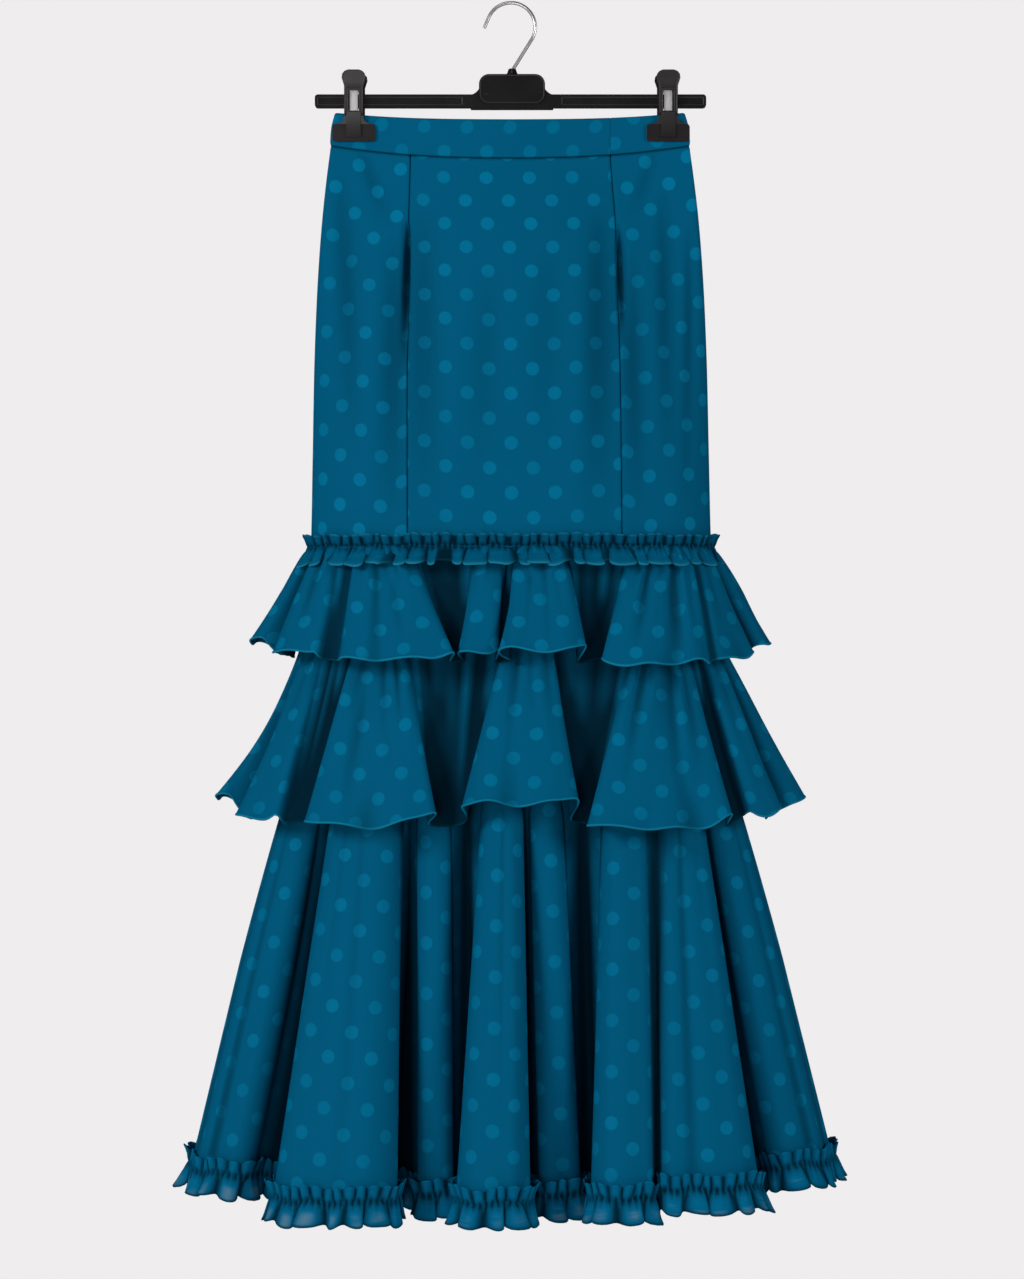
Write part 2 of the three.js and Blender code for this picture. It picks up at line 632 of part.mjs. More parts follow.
function toGeometry(solid) {
  const mesh = solid.getMesh();
  const geometry = new THREE.BufferGeometry();
  geometry.setAttribute('position', new THREE.BufferAttribute(new Float32Array(mesh.vertProperties), 3));
  geometry.setIndex(new THREE.BufferAttribute(new Uint32Array(mesh.triVerts), 1));
  return geometry;
}

function hangerBar() {
  const rail = slab(roundedOutline(BAR.left, BAR.right, BAR.foot, BAR.top, BAR.corner), BAR.thick, 0);
  const plate = slab(
    roundedOutline(PLATE.left, PLATE.right, PLATE.foot, PLATE.top, PLATE.corner),
    PLATE.thick,
    0
  );
  const web = new THREE.Shape();
  const middle = (PLATE.left + PLATE.right) / 2;
  const low = BAR.top - WEB.sink;
  const bend = BAR.top + WEB.sink;
  const high = BAR.top + WEB.rise;
  web.moveTo(middle - WEB.half, low);
  web.quadraticCurveTo(PLATE.left - WEB.overlap, bend, PLATE.left + WEB.overlap, high);
  web.lineTo(PLATE.right - WEB.overlap, high);
  web.quadraticCurveTo(PLATE.right + WEB.overlap, bend, middle + WEB.half, low);
  web.lineTo(middle + WEB.half - WEB.slope, WEB.foot);
  web.lineTo(middle - WEB.half + WEB.slope, WEB.foot);
  let solid = toSolid(rail).add(toSolid(slab(web, WEB.thick, 0)));
  for (const face of [-1, 1]) {
    for (const end of [-1, 1]) {
      const from = end < 0 ? BAR.left + CHANNEL.margin : middle + WEB.half;
      const to = end < 0 ? middle - WEB.half : BAR.right - CHANNEL.margin;
      const channel = slab(
        roundedOutline(from, to, CHANNEL.foot, CHANNEL.top, CHANNEL.corner),
        2 * CHANNEL.deep,
        (face * BAR.thick) / 2
      );
      solid = solid.subtract(toSolid(channel));
    }
  }
  return solid.add(toSolid(plate));
}

function collar() {
  const bore = HOOK.wire / 2 + SEAM_GAP;
  const profile = [
    [bore, COLLAR.foot],
    [COLLAR.wide, COLLAR.foot],
    [COLLAR.shoulderWide, COLLAR.shoulder],
    [COLLAR.narrow, COLLAR.top],
    [bore, COLLAR.top],
    [bore, COLLAR.foot],
  ];
  const points = profile.map(([radius, z]) => new THREE.Vector2(radius, z));
  const geometry = new THREE.LatheGeometry(points, COLLAR.sides);
  geometry.rotateX(Math.PI / 2);
  geometry.translate(COLLAR.at, 0, 0);
  return toGeometry(toSolid(geometry));
}

// The hook's wire: an arc over the rail with its open end on the left, then a straight
// slope in to the shank.
function hookWire() {
  const middle = HOOK.wire / 2 - HOOK.bend;
  const path = [new THREE.Vector3(HOOK.tip.x, 0, middle - HOOK.tip.below)];
  for (let step = 0; step <= HOOK.arc.steps; step += 1) {
    const angle = radians(mix(HOOK.arc.from, HOOK.arc.to, step / HOOK.arc.steps));
    const x = HOOK.bend * Math.cos(angle);
    path.push(new THREE.Vector3(x, 0, middle + HOOK.bend * Math.sin(angle)));
  }
  for (const { x, z } of HOOK.slope) path.push(new THREE.Vector3(x, 0, z));
  path.push(new THREE.Vector3(COLLAR.at, 0, HOOK.shankTop));
  path.push(new THREE.Vector3(COLLAR.at, 0, COLLAR.foot + SEAM_GAP));
  const section = new THREE.Shape();
  section.absarc(0, 0, HOOK.wire / 2, 0, 2 * Math.PI);
  return new THREE.ExtrudeGeometry(section, {
    extrudePath: new THREE.CatmullRomCurve3(path, false, 'centripetal'),
    steps: HOOK.steps,
    curveSegments: HOOK.sides / 2,
    bevelEnabled: false,
  });
}

addPiece('hanger_bar', toGeometry(hangerBar()), plastic);
addPiece('hook_collar', collar(), plastic);
addPiece('hanger_hook', hookWire(), steel);

// ---------------------------------------------------------------- clips

// One lever of a clip, seen from the front: a paddle above the bar, a stem across it and a
// wide jaw that closes on the waistband.
function leverOutline() {
  const paddle = CLIP.paddleWide / 2;
  const stem = CLIP.stemWide / 2;
  const jaw = CLIP.jawWide / 2;
  const corner = CLIP.jawCorner;
  const { wide, tall } = CLIP.paddleCorner;
  const shape = new THREE.Shape();
  shape.moveTo(-jaw + corner, CLIP.jawFoot);
  shape.lineTo(jaw - corner, CLIP.jawFoot);
  shape.quadraticCurveTo(jaw, CLIP.jawFoot, jaw, CLIP.jawFoot + corner);
  shape.lineTo(jaw, CLIP.jawTop - corner);
  shape.quadraticCurveTo(jaw, CLIP.jawTop, jaw - corner, CLIP.jawTop);
  shape.quadraticCurveTo(stem, CLIP.jawTop, stem, CLIP.shoulder);
  shape.lineTo(stem, CLIP.stemTop);
  shape.lineTo(paddle, CLIP.paddleTop - tall);
  shape.quadraticCurveTo(paddle, CLIP.paddleTop, paddle - wide, CLIP.paddleTop);
  shape.lineTo(-paddle + wide, CLIP.paddleTop);
  shape.quadraticCurveTo(-paddle, CLIP.paddleTop, -paddle, CLIP.paddleTop - tall);
  shape.lineTo(-stem, CLIP.stemTop);
  shape.lineTo(-stem, CLIP.shoulder);
  shape.quadraticCurveTo(-stem, CLIP.jawTop, -jaw + corner, CLIP.jawTop);
  shape.quadraticCurveTo(-jaw, CLIP.jawTop, -jaw, CLIP.jawTop - corner);
  shape.lineTo(-jaw, CLIP.jawFoot + corner);
  shape.quadraticCurveTo(-jaw, CLIP.jawFoot, -jaw + corner, CLIP.jawFoot);
  const half = CLIP.windowWide / 2;
  shape.holes.push(roundedOutline(-half, half, CLIP.windowFoot, CLIP.windowTop, CLIP.windowCorner));
  return shape;
}

// A lever's distance from the middle plane at a height.
function leverOut(z) {
  let stop = 0;
  while (stop < LEVER_OUT.length - 2 && z < LEVER_OUT[stop + 1].z) stop += 1;
  const upper = LEVER_OUT[stop];
  const lower = LEVER_OUT[stop + 1];
  return mix(upper.out, lower.out, (upper.z - z) / (upper.z - lower.z));
}

function lever(face) {
  const flat = slab(leverOutline(), CLIP.plate, CLIP.plate / 2);
  const place = flat.attributes.position;
  for (let index = 0; index < place.count; index += 1) {
    place.setY(index, place.getY(index) + leverOut(place.getZ(index)));
  }
  const solid = toSolid(flat);
  return face < 0 ? solid.mirror([0, 1, 0]) : solid;
}

// The flat steel spring: an arch over the bar, with an arm down through each window.
function spring() {
  const { inner, outer, top, foot, wide } = SPRING;
  const section = new THREE.Shape();
  section.moveTo(-outer, foot);
  section.lineTo(-outer, top);
  section.absarc(0, top, outer, Math.PI, 0, true);
  section.lineTo(outer, foot);
  section.lineTo(inner, foot);
  section.lineTo(inner, top);
  section.absarc(0, top, inner, 0, Math.PI, false);
  section.lineTo(-inner, foot);
  section.lineTo(-outer, foot);
  const geometry = new THREE.ExtrudeGeometry(section, {
    depth: wide,
    bevelEnabled: false,
    curveSegments: SPRING.archSteps,
  });
  geometry.rotateX(Math.PI / 2);
  geometry.rotateZ(Math.PI / 2);
  geometry.translate(-wide / 2, 0, 0);
  return geometry;
}

for (const [side, way] of [['left', -1], ['right', 1]]) {
  const place = new THREE.Matrix4().makeTranslation(way * CLIP_AT, 0, 0);
  addPiece(`clip_${side}_front`, toGeometry(lever(-1)).applyMatrix4(place), plastic);
  const shifted = new THREE.Matrix4().makeTranslation(way * (CLIP_AT - BACK_LEVER_SHIFT), 0, 0);
  addPiece(`clip_${side}_back`, toGeometry(lever(1)).applyMatrix4(shifted), plastic);
  addPiece(`clip_${side}_spring`, spring().applyMatrix4(place), steel);
}

export default skirt;
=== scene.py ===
# %% [markdown]
# # A long flamenco skirt on its clip hanger
# The skirt is a fitted tube of five gores under a shaped waistband. Three flared flounces
# stand out from it one below the other, and two narrow frills, gathered along their middles,
# cover the first seam and the last hem. It hangs from a moulded hanger by two sprung clips.
# The construction model is loaded first. It gives every piece's place and size, and the
# pieces made below are finer forms of the same walls.

# %% Load the construction model
import math

import bpy
import numpy as np
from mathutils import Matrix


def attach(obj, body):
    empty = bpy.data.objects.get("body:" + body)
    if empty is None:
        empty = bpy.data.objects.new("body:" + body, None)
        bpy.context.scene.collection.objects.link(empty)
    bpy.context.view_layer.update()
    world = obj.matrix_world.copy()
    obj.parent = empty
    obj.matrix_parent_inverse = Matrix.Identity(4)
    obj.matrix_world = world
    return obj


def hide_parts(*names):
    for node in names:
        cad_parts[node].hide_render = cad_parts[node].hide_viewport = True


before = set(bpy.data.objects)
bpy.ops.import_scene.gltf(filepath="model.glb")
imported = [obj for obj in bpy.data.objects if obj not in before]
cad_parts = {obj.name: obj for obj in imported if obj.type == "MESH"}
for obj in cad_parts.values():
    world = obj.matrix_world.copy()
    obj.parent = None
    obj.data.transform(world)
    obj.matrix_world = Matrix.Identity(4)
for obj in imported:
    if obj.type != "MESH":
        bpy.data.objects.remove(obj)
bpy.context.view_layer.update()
bpy.ops.object.select_all(action="DESELECT")
MM = 0.001
print("nodes of the construction model:", len(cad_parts))

# %% [markdown]
# ## Camera
# A long garment is best seen from some way off, level with its middle and through a long
# lens, so that its sides stay parallel. The lens is worked out from the distance and from the
# height that the picture takes in, so that the two can't disagree.

# %% Camera
CAMERA_DISTANCE = 3.2
CAMERA_X = 0.001
CAMERA_Z = -0.635
PICTURE_HEIGHT = 1.279
SENSOR = 36

camera_data = bpy.data.cameras.new("Studio_camera")
camera_data.sensor_width = SENSOR
camera_data.lens = SENSOR * CAMERA_DISTANCE / PICTURE_HEIGHT
camera = bpy.data.objects.new("Studio_camera", camera_data)
camera.location = (CAMERA_X, -CAMERA_DISTANCE, CAMERA_Z)
camera.rotation_euler = (math.radians(90), 0, 0)
bpy.context.collection.objects.link(camera)
bpy.context.scene.camera = camera
print("lens", round(camera_data.lens, 1), "mm")

# %% [markdown]
# ## Lights
# Four soft disks light the skirt as a small studio would. The first stands high on the left
# and does most of the work, so that every fold has a light flank and a dark one. A weaker one
# fills from the right, one below the middle opens the shade under the flounces, and a small
# one above catches the hook and the band. A single bright lamp would be simpler, but its hard
# shadows would hide the folds.

# %% Lights
LIGHTS = [
    {"name": "Key_light", "place": (-2.7, -2.1, 0.45), "size": 1.1, "watts": 70},
    {"name": "Fill_light", "place": (2.8, -1.9, 0.15), "size": 1.1, "watts": 46},
    {"name": "Front_light", "place": (-0.6, -2.9, -0.9), "size": 1.2, "watts": 18},
    {"name": "Top_light", "place": (-0.25, -0.7, 0.9), "size": 0.5, "watts": 1.5},
]
LIGHT_TARGET = (0, 0, -0.6)

for light in LIGHTS:
    data = bpy.data.lights.new(light["name"], "AREA")
    data.shape = "DISK"
    data.size = light["size"]
    data.energy = light["watts"]
    lamp = bpy.data.objects.new(light["name"], data)
    lamp.location = light["place"]
    aim = camera.location.copy()
    aim[:] = [goal - here for goal, here in zip(LIGHT_TARGET, light["place"])]
    lamp.rotation_euler = aim.to_track_quat("-Z", "Y").to_euler()
    bpy.context.collection.objects.link(lamp)
print("lights:", [light["name"] for light in LIGHTS])


# %% [markdown]
# ## Colours and shader nodes
# A dye or a paint is named by its sRGB colour, but a shader counts in linear light, so one
# function turns the one into the other. A second adds a node with its settings and links,
# which keeps each finish below short enough to read as a recipe.

# %% Colours and nodes
def linear(hex_colour):
    """An sRGB colour such as #00506f as the linear numbers that a shader wants."""
    shares = [int(hex_colour[place:place + 2], 16) / 255 for place in (1, 3, 5)]
    return [s / 12.92 if s <= 0.04045 else ((s + 0.055) / 1.055) ** 2.4 for s in shares] + [1]


def add_node(tree, kind, settings=None, inputs=None):
    """A node with its settings and its inputs, which are values or other nodes' outputs."""
    node = tree.nodes.new(kind)
    for name, value in (settings or {}).items():
        setattr(node, name, value)
    for socket, value in (inputs or {}).items():
        if isinstance(value, bpy.types.NodeSocket):
            tree.links.new(value, node.inputs[socket])
        else:
            node.inputs[socket].default_value = value
    return node


def new_material(name):
    """An empty material with its output, and the tree that its nodes go in."""
    material = bpy.data.materials.new(name)
    material.use_nodes = True
    tree = material.node_tree
    tree.nodes.clear()
    return material, tree, tree.nodes.new("ShaderNodeOutputMaterial")


print("mid grey #808080 in linear light:", round(linear("#808080")[0], 3))

# %% [markdown]
# ## The room
# All that stands behind the skirt is a pale wall. A real wall would need lamps of its own to
# look even, so the world does its work: what is seen of it has the wall's full tone, and what
# it gives to the cloth is only a faint light from all round, which keeps the folds deep.

# %% The room
ROOM_COLOUR = "#EFEDEE"
ROOM_SEEN = 1.0
ROOM_LIGHT = 0.05

room = bpy.data.worlds.new("Pale_room")
room.use_nodes = True
tree = room.node_tree
tree.nodes.clear()
wall = add_node(tree, "ShaderNodeBackground", inputs={
    "Color": linear(ROOM_COLOUR), "Strength": ROOM_SEEN})
dim = add_node(tree, "ShaderNodeBackground", inputs={
    "Color": linear(ROOM_COLOUR), "Strength": ROOM_LIGHT})
seen = add_node(tree, "ShaderNodeLightPath")
both = add_node(tree, "ShaderNodeMixShader", inputs={
    0: seen.outputs["Is Camera Ray"], 1: dim.outputs[0], 2: wall.outputs[0]})
add_node(tree, "ShaderNodeOutputWorld", inputs={"Surface": both.outputs[0]})
bpy.context.scene.world = room
bpy.context.scene.view_settings.view_transform = "Standard"
print("room", ROOM_COLOUR, "lighting at", ROOM_LIGHT)

# %% [markdown]
# ## The floor
# A floor with matt studio paint lies well below the hem. It ends behind the skirt, so the
# wall's even tone is the whole background. One plane is enough, because neither its edge nor
# its thickness is seen, and the roller's faint unevenness is a fine noise in its tone.

# %% The floor
FLOOR_Z = -1.45
FLOOR_SIZE = 3.4
FLOOR_MIDDLE = (0, -0.85, FLOOR_Z)
FLOOR_DARK = "#E9E7E8"
ROLLER_GRAIN = 30.0

bpy.ops.mesh.primitive_plane_add(size=FLOOR_SIZE, location=FLOOR_MIDDLE)
floor = bpy.context.object
floor.name = "Studio_floor"
bpy.ops.object.transform_apply(location=True)
paint, tree, output = new_material("Matt_floor_paint")
grain = add_node(tree, "ShaderNodeTexNoise", inputs={"Scale": ROLLER_GRAIN, "Detail": 4.0})
tone = add_node(tree, "ShaderNodeMix", {"data_type": "RGBA"}, {"Factor": grain.outputs["Fac"]})
tone.inputs["A"].default_value = linear(FLOOR_DARK)
tone.inputs["B"].default_value = linear(ROOM_COLOUR)
matt = add_node(tree, "ShaderNodeBsdfPrincipled", inputs={
    "Base Color": tone.outputs["Result"], "Roughness": 0.9})
tree.links.new(matt.outputs[0], output.inputs["Surface"])
floor.data.materials.append(paint)
bpy.ops.object.select_all(action="DESELECT")
print("floor at", FLOOR_Z)

# %% [markdown]
# ## The cloth
# The skirt is a light crepe, and its dots are woven in with the same yarn laid smoother, so
# they are only a little lighter than the ground. A dot is 13 mm wide, and the dots stand in
# rows that are staggered like bricks. They could be painted on an image, but here they are
# worked out from each piece's own UV map, which is in metres, so every dot keeps its size and
# follows the fold that it lies on.

# %% Dots from a lattice
DOT_ACROSS = 43.0
DOT_DOWN = 49.0
DOT_RADIUS = 6.6
DOT_SOFT = 0.9


def dots(tree, place):
    """1 inside a dot and 0 outside. The lattice is two grids, the second half a step on."""
    cells = add_node(tree, "ShaderNodeVectorMath", {"operation": "MULTIPLY"},
                     {0: place, 1: (1 / (DOT_ACROSS * MM), 1 / (DOT_DOWN * MM), 0)})
    distances = []
    for shift in (0.5, 1.0):
        moved = add_node(tree, "ShaderNodeVectorMath", {"operation": "ADD"},
                         {0: cells.outputs[0], 1: (shift, shift, 0)})
        part = add_node(tree, "ShaderNodeVectorMath", {"operation": "FRACTION"}, {0: moved.outputs[0]})
        centred = add_node(tree, "ShaderNodeVectorMath", {"operation": "SUBTRACT"},
                           {0: part.outputs[0], 1: (0.5, 0.5, 0)})
        real = add_node(tree, "ShaderNodeVectorMath", {"operation": "MULTIPLY"},
                        {0: centred.outputs[0], 1: (DOT_ACROSS, DOT_DOWN, 0)})
        length = add_node(tree, "ShaderNodeVectorMath", {"operation": "LENGTH"}, {0: real.outputs[0]})
        distances.append(length.outputs["Value"])
    least = add_node(tree, "ShaderNodeMath", {"operation": "MINIMUM"},
                     {0: distances[0], 1: distances[1]})
    mask = add_node(tree, "ShaderNodeMapRange", {"interpolation_type": "SMOOTHSTEP"},
                    {"Value": least.outputs[0], "From Min": DOT_RADIUS + DOT_SOFT / 2,
                     "From Max": DOT_RADIUS - DOT_SOFT / 2})
    return mask.outputs["Result"]


print("dots", 2 * DOT_RADIUS, "mm wide, every", DOT_ACROSS, "by", DOT_DOWN, "mm")

# %% [markdown]
# ## Crepe
# Crepe is woven from tightly twisted yarn, which leaves its face dull and slightly pebbled,
# with hardly any gloss. One function makes it for the body and the flounces and, thinner and
# lighter, for the two frills. It reads four marks that each mesh carries: where an edge is
# rolled, where dots show, where the cloth lies in a hollow and gets painted shade, and where it
# is single and thin and gets painted light coming through it. The lamps alone would leave
# narrow pleats too open, so a hollow takes part of its shade as painted shade in its colour.

# %% Crepe
CREPE = "#00587B"
CREPE_DOT = "#007198"
CREPE_EDGE = "#0E7595"
# A pale grey-teal for painted light coming through single, thin cloth.
CREPE_LIGHT_THROUGH = "#5E8496"
# Near black for painted shade in hollows and creases.
CREPE_PAINTED_SHADE = "#00141F"
CREPE_GRAIN_MM = 1.4
CREPE_GRAIN_DEEP = 0.0003
CREPE_SHADE_MM = 120
CREPE_ROUGH = 0.78
CREPE_DOT_ROUGH = 0.62
CREPE_GLOSS = 0.02
DOT_FAINTEST = 0.55
SHEER_FROM = 0.5
SHEER_TO = 0.62


def crepe_material(name, dot_share, edge_hex, base_hex=CREPE):
    """Crepe with its dots, its rolled edges, the painted light through its thin places and the
    painted shade in its hollows, in that order, each laid over the one before."""
    material, tree, output = new_material(name)
    uv = add_node(tree, "ShaderNodeTexCoord").outputs["UV"]
    shade = add_node(tree, "ShaderNodeTexNoise", inputs={"Vector": uv, "Scale": 1 / (CREPE_SHADE_MM * MM)})
    mottle = add_node(tree, "ShaderNodeMapRange", inputs={
        "Value": shade.outputs["Fac"], "From Min": 0.3, "From Max": 0.7,
        "To Min": DOT_FAINTEST, "To Max": 1.0})
    strength = add_node(tree, "ShaderNodeMath", {"operation": "MULTIPLY"},
                        {0: dots(tree, uv), 1: mottle.outputs["Result"]})
    dotted = add_node(tree, "ShaderNodeAttribute", {"attribute_name": "dotted"})
    full = add_node(tree, "ShaderNodeMath", {"operation": "MULTIPLY"}, {0: strength.outputs[0], 1: dot_share})
    shown = add_node(tree, "ShaderNodeMath", {"operation": "MULTIPLY"},
                     {0: full.outputs[0], 1: dotted.outputs["Fac"]})
    colour = add_node(tree, "ShaderNodeMix", {"data_type": "RGBA"}, {"Factor": shown.outputs[0]})
    colour.inputs["A"].default_value = linear(base_hex)
    colour.inputs["B"].default_value = linear(CREPE_DOT)
    rolled = add_node(tree, "ShaderNodeAttribute", {"attribute_name": "rolled"})
    edged = add_node(tree, "ShaderNodeMix", {"data_type": "RGBA"},
                     {"Factor": rolled.outputs["Fac"], "A": colour.outputs["Result"]})
    edged.inputs["B"].default_value = linear(edge_hex)
    # Where the cloth is thin, noise patches mix it towards pale grey-teal: painted light coming through.
    thin = add_node(tree, "ShaderNodeAttribute", {"attribute_name": "thin"})
    patches = add_node(tree, "ShaderNodeMapRange", inputs={
        "Value": shade.outputs["Fac"], "From Min": SHEER_FROM, "From Max": SHEER_TO})
    lit = add_node(tree, "ShaderNodeMath", {"operation": "MULTIPLY"},
                   {0: thin.outputs["Fac"], 1: patches.outputs["Result"]})
    painted_light_through = add_node(tree, "ShaderNodeMix", {"data_type": "RGBA"},
                     {"Factor": lit.outputs[0], "A": edged.outputs["Result"]})
    painted_light_through.inputs["B"].default_value = linear(CREPE_LIGHT_THROUGH)
    # This mark mixes the crepe towards near black, as painted shade in hollows and creases.
    hollow = add_node(tree, "ShaderNodeAttribute", {"attribute_name": "hollow"})
    shaded = add_node(tree, "ShaderNodeMix", {"data_type": "RGBA"},
                      {"Factor": hollow.outputs["Fac"], "A": painted_light_through.outputs["Result"]})
    shaded.inputs["B"].default_value = linear(CREPE_PAINTED_SHADE)
    grain = add_node(tree, "ShaderNodeTexNoise", inputs={
        "Vector": uv, "Scale": 1 / (CREPE_GRAIN_MM * MM), "Detail": 3.0})
    bump = add_node(tree, "ShaderNodeBump", inputs={
        "Strength": 0.18, "Distance": CREPE_GRAIN_DEEP, "Height": grain.outputs["Fac"]})
    rough = add_node(tree, "ShaderNodeMapRange", inputs={
        "Value": shown.outputs[0], "To Min": CREPE_ROUGH, "To Max": CREPE_DOT_ROUGH})
    cloth = add_node(tree, "ShaderNodeBsdfPrincipled", inputs={
        "Base Color": shaded.outputs["Result"], "Roughness": rough.outputs["Result"],
        "Normal": bump.outputs["Normal"], "Specular IOR Level": CREPE_GLOSS})
    tree.links.new(cloth.outputs[0], output.inputs["Surface"])
    return material


crepe = crepe_material("Woven_dot_crepe", 1.0, CREPE_EDGE)
hip_crepe = crepe_material("Hip_frill_crepe", 0.3, "#187694", "#005D82")
hem_crepe = crepe_material("Hem_frill_crepe", 0.3, "#02415A", "#00648C")
print("cloths:", crepe.name, hip_crepe.name, hem_crepe.name)

# %% [markdown]
# ## Cloth as a shell
# A sheet of cloth is a grid of points on its outer face. The same points moved in by the
# cloth's thickness give the inner face, and four narrow strips close the edges. A rolled hem
# is the same shell made thicker over its last few rows. Solidify would do the even part, but
# not the roll, so the shell is worked out here. First come three ways to measure a grid.

# %% Measuring a grid of cloth
def outward(grid):
    """The direction out of a grid of points, at each of them. Its rows run down the cloth."""
    along = np.gradient(grid, axis=1)
    down = np.gradient(grid, axis=0)
    normal = np.cross(down, along)
    return normal / np.linalg.norm(normal, axis=2, keepdims=True)


def run_lengths(grid, axis):
    """How far each point of a grid is along its row (axis 1) or down its column (axis 0)."""
    steps = np.linalg.norm(np.diff(grid, axis=axis), axis=2)
    start = np.zeros_like(np.take(steps, [0], axis=axis))
    return np.cumsum(np.concatenate([start, steps], axis=axis), axis=axis)


def corners(values):
    """A grid's values at the four corners of each of its faces, in the faces' own order."""
    return np.stack([values[:-1, :-1], values[1:, :-1], values[1:, 1:], values[:-1, 1:]], axis=2)


metre = np.array([[[0.0, 0, 0], [1000.0, 0, 0]]])
print("a flat metre measures", run_lengths(metre, 1)[0, -1], "mm across")

# %% [markdown]
# ## Marks and the shell
# Each mesh carries four marks as shares from 0 to 1, which the crepe reads. They are kept on
# the points, because there they follow the cloth however it is folded. What a piece doesn't
# mark has the value in the table below.

# %% Shell maker
# Of these marks, the third is painted shade and the fourth painted light through the cloth.
MARKS = {"rolled": 0.0, "dotted": 1.0, "hollow": 0.0, "thin": 0.0}


def shell(name, grid, thick, face_uv, proud=0.0, normals=None, marks=None):
    """A closed sheet of cloth from the millimetre grid of its outer face. thick and proud are
    one value or one for each row. face_uv is in metres. marks are shares that the material
    reads, each of a shape that spreads over the grid."""
    rows, columns = grid.shape[:2]
    if normals is None:
        normals = outward(grid)
    proud = np.broadcast_to(np.asarray(proud, float), rows)[:, None, None]
    thick = np.broadcast_to(np.asarray(thick, float), rows)[:, None, None]
    outer = grid + normals * proud
    inner = grid - normals * (thick + proud)
    points = np.concatenate([outer.reshape(-1, 3), inner.reshape(-1, 3)]) * MM
    index = np.arange(rows * columns).reshape(rows, columns)
    face = corners(index).reshape(-1, 4)
    back = face[:, ::-1] + rows * columns
    uv = face_uv.reshape(-1, 4, 2)

    def strip(line, first_uv, second_uv):
        below = line + rows * columns
        quads = np.stack([line[:-1], line[1:], below[1:], below[:-1]], axis=1)
        return quads, np.stack([first_uv, second_uv, second_uv, first_uv], axis=1)

    left = strip(index[:, 0][::-1], face_uv[::-1, 0, 1], face_uv[::-1, 0, 0])
    right = strip(index[:, -1], face_uv[:, -1, 3], face_uv[:, -1, 2])
    top = strip(index[0], face_uv[0, :, 0], face_uv[0, :, 3])
    foot = strip(index[-1][::-1], face_uv[-1, ::-1, 2], face_uv[-1, ::-1, 1])
    faces = np.concatenate([face, back, left[0], right[0], top[0], foot[0]])
    uvs = np.concatenate([uv, uv[:, ::-1], left[1], right[1], top[1], foot[1]])

    mesh = bpy.data.meshes.new(name)
    mesh.from_pydata(points.tolist(), [], faces.tolist())
    layer = mesh.uv_layers.new(name="cloth")
    layer.data.foreach_set("uv", uvs.reshape(-1).astype(np.float32))
    for label, shares in {**MARKS, **(marks or {})}.items():
        attribute = mesh.attributes.new(label, "FLOAT", "POINT")
        values = np.tile(np.broadcast_to(shares, (rows, columns)).reshape(-1), 2)
        attribute.data.foreach_set("value", values.astype(np.float32))
    mesh.shade_smooth()
    piece = bpy.data.objects.new(name, mesh)
    bpy.context.collection.objects.link(piece)
    return piece


def grid_uv(grid, middle, shift=(0.0, 0.0)):
    """A face UV map in metres: across from the grid's column called middle, and down."""
    across = run_lengths(grid, 1)
    across = across - across[:, [middle]]
    down = -run_lengths(grid, 0)
    return corners(np.stack([across + shift[0], down + shift[1]], axis=2)) * MM


def dress(piece, material, nodes):
    """Gives a finished piece its material if it has none, puts it under the root body, and hides the
    construction nodes that it stands for.
    """
    if not piece.data.materials:
        piece.data.materials.append(material)
    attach(piece, "root")
    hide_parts(*nodes)


print("marks on every sheet:", ", ".join(MARKS))

# %% [markdown]
# ## The body
# The body's section goes from two cloths pinched flat at the waist to a full oval at the
# hips. One table gives the widths and depths at each height, as in the construction model,
# and a smooth curve through its rows takes out the kinks between them.

# %% Sections of the body
# At the waist the two sides lie PINCH apart from the middle, and bulge within BELLY_END. The
# last part of each side, past EDGE_TURN, goes round to the other. SQUARE fills out the oval.
PINCH = 2.2
BELLY_END = 150
EDGE_TURN = 0.86
SQUARE = 0.85
SAG_ROUND = 1.9
BAND_TOP = -108.5
BAND_FOOT = -141.5
BODY_FOOT = -757
HIP_Z = -543

# lean moves a row sideways, sag lets its middle hang, and round is 0 for a flat pinched row
# and 1 for an oval one. seam_l and seam_r are where the front seams cross it.
BODY_COLUMNS = ("z", "width", "front", "back", "round", "lean", "sag", "seam_l", "seam_r")
BODY_ROWS = [
    (-108.5, 174.5, 15, 15, 0, -1.2, 8.5, -99, 99.5),
    (-121.5, 178.2, 16, 16, 0, -1.0, 11, -100, 99.5),
    (-141.5, 180.0, 18, 18, 0, -0.9, 14.5, -100.5, 99.5),
    (-170, 183.6, 25, 26, 0.14, -0.8, 12, -101, 101),
    (-210, 188.0, 35, 37, 0.36, -0.6, 8, -102, 104),
    (-270, 192.4, 47, 50, 0.66, -0.5, 4, -103, 106.5),
    (-350, 195.9, 57, 61, 0.9, -0.4, 1, -103, 108),
    (-450, 198.0, 64, 69, 1, -0.2, 0, -102.5, 109),
    (-543, 200.0, 68, 74, 1, 0, 0, -102, 109.5),
    (-757, 212.0, 77, 83, 1, 0, 0, -109, 116),
]
BODY = {name: np.array(column, float) for name, column in zip(BODY_COLUMNS, zip(*BODY_ROWS))}


def smooth_curve(x, xs, ys):
    """A smooth curve through the points xs, ys, with xs going up, read at each x."""
    slopes = np.gradient(ys, xs)
    k = np.clip(np.searchsorted(xs, x) - 1, 0, len(xs) - 2)
    h = xs[k + 1] - xs[k]
    t = np.clip((x - xs[k]) / h, 0, 1)
    return ((2 * t**3 - 3 * t**2 + 1) * ys[k] + (t**3 - 2 * t**2 + t) * h * slopes[k]
            + (3 * t**2 - 2 * t**3) * ys[k + 1] + (t**3 - t**2) * h * slopes[k + 1])


def body_size(name, z):
    return smooth_curve(-np.asarray(z, float), -BODY["z"], BODY[name])


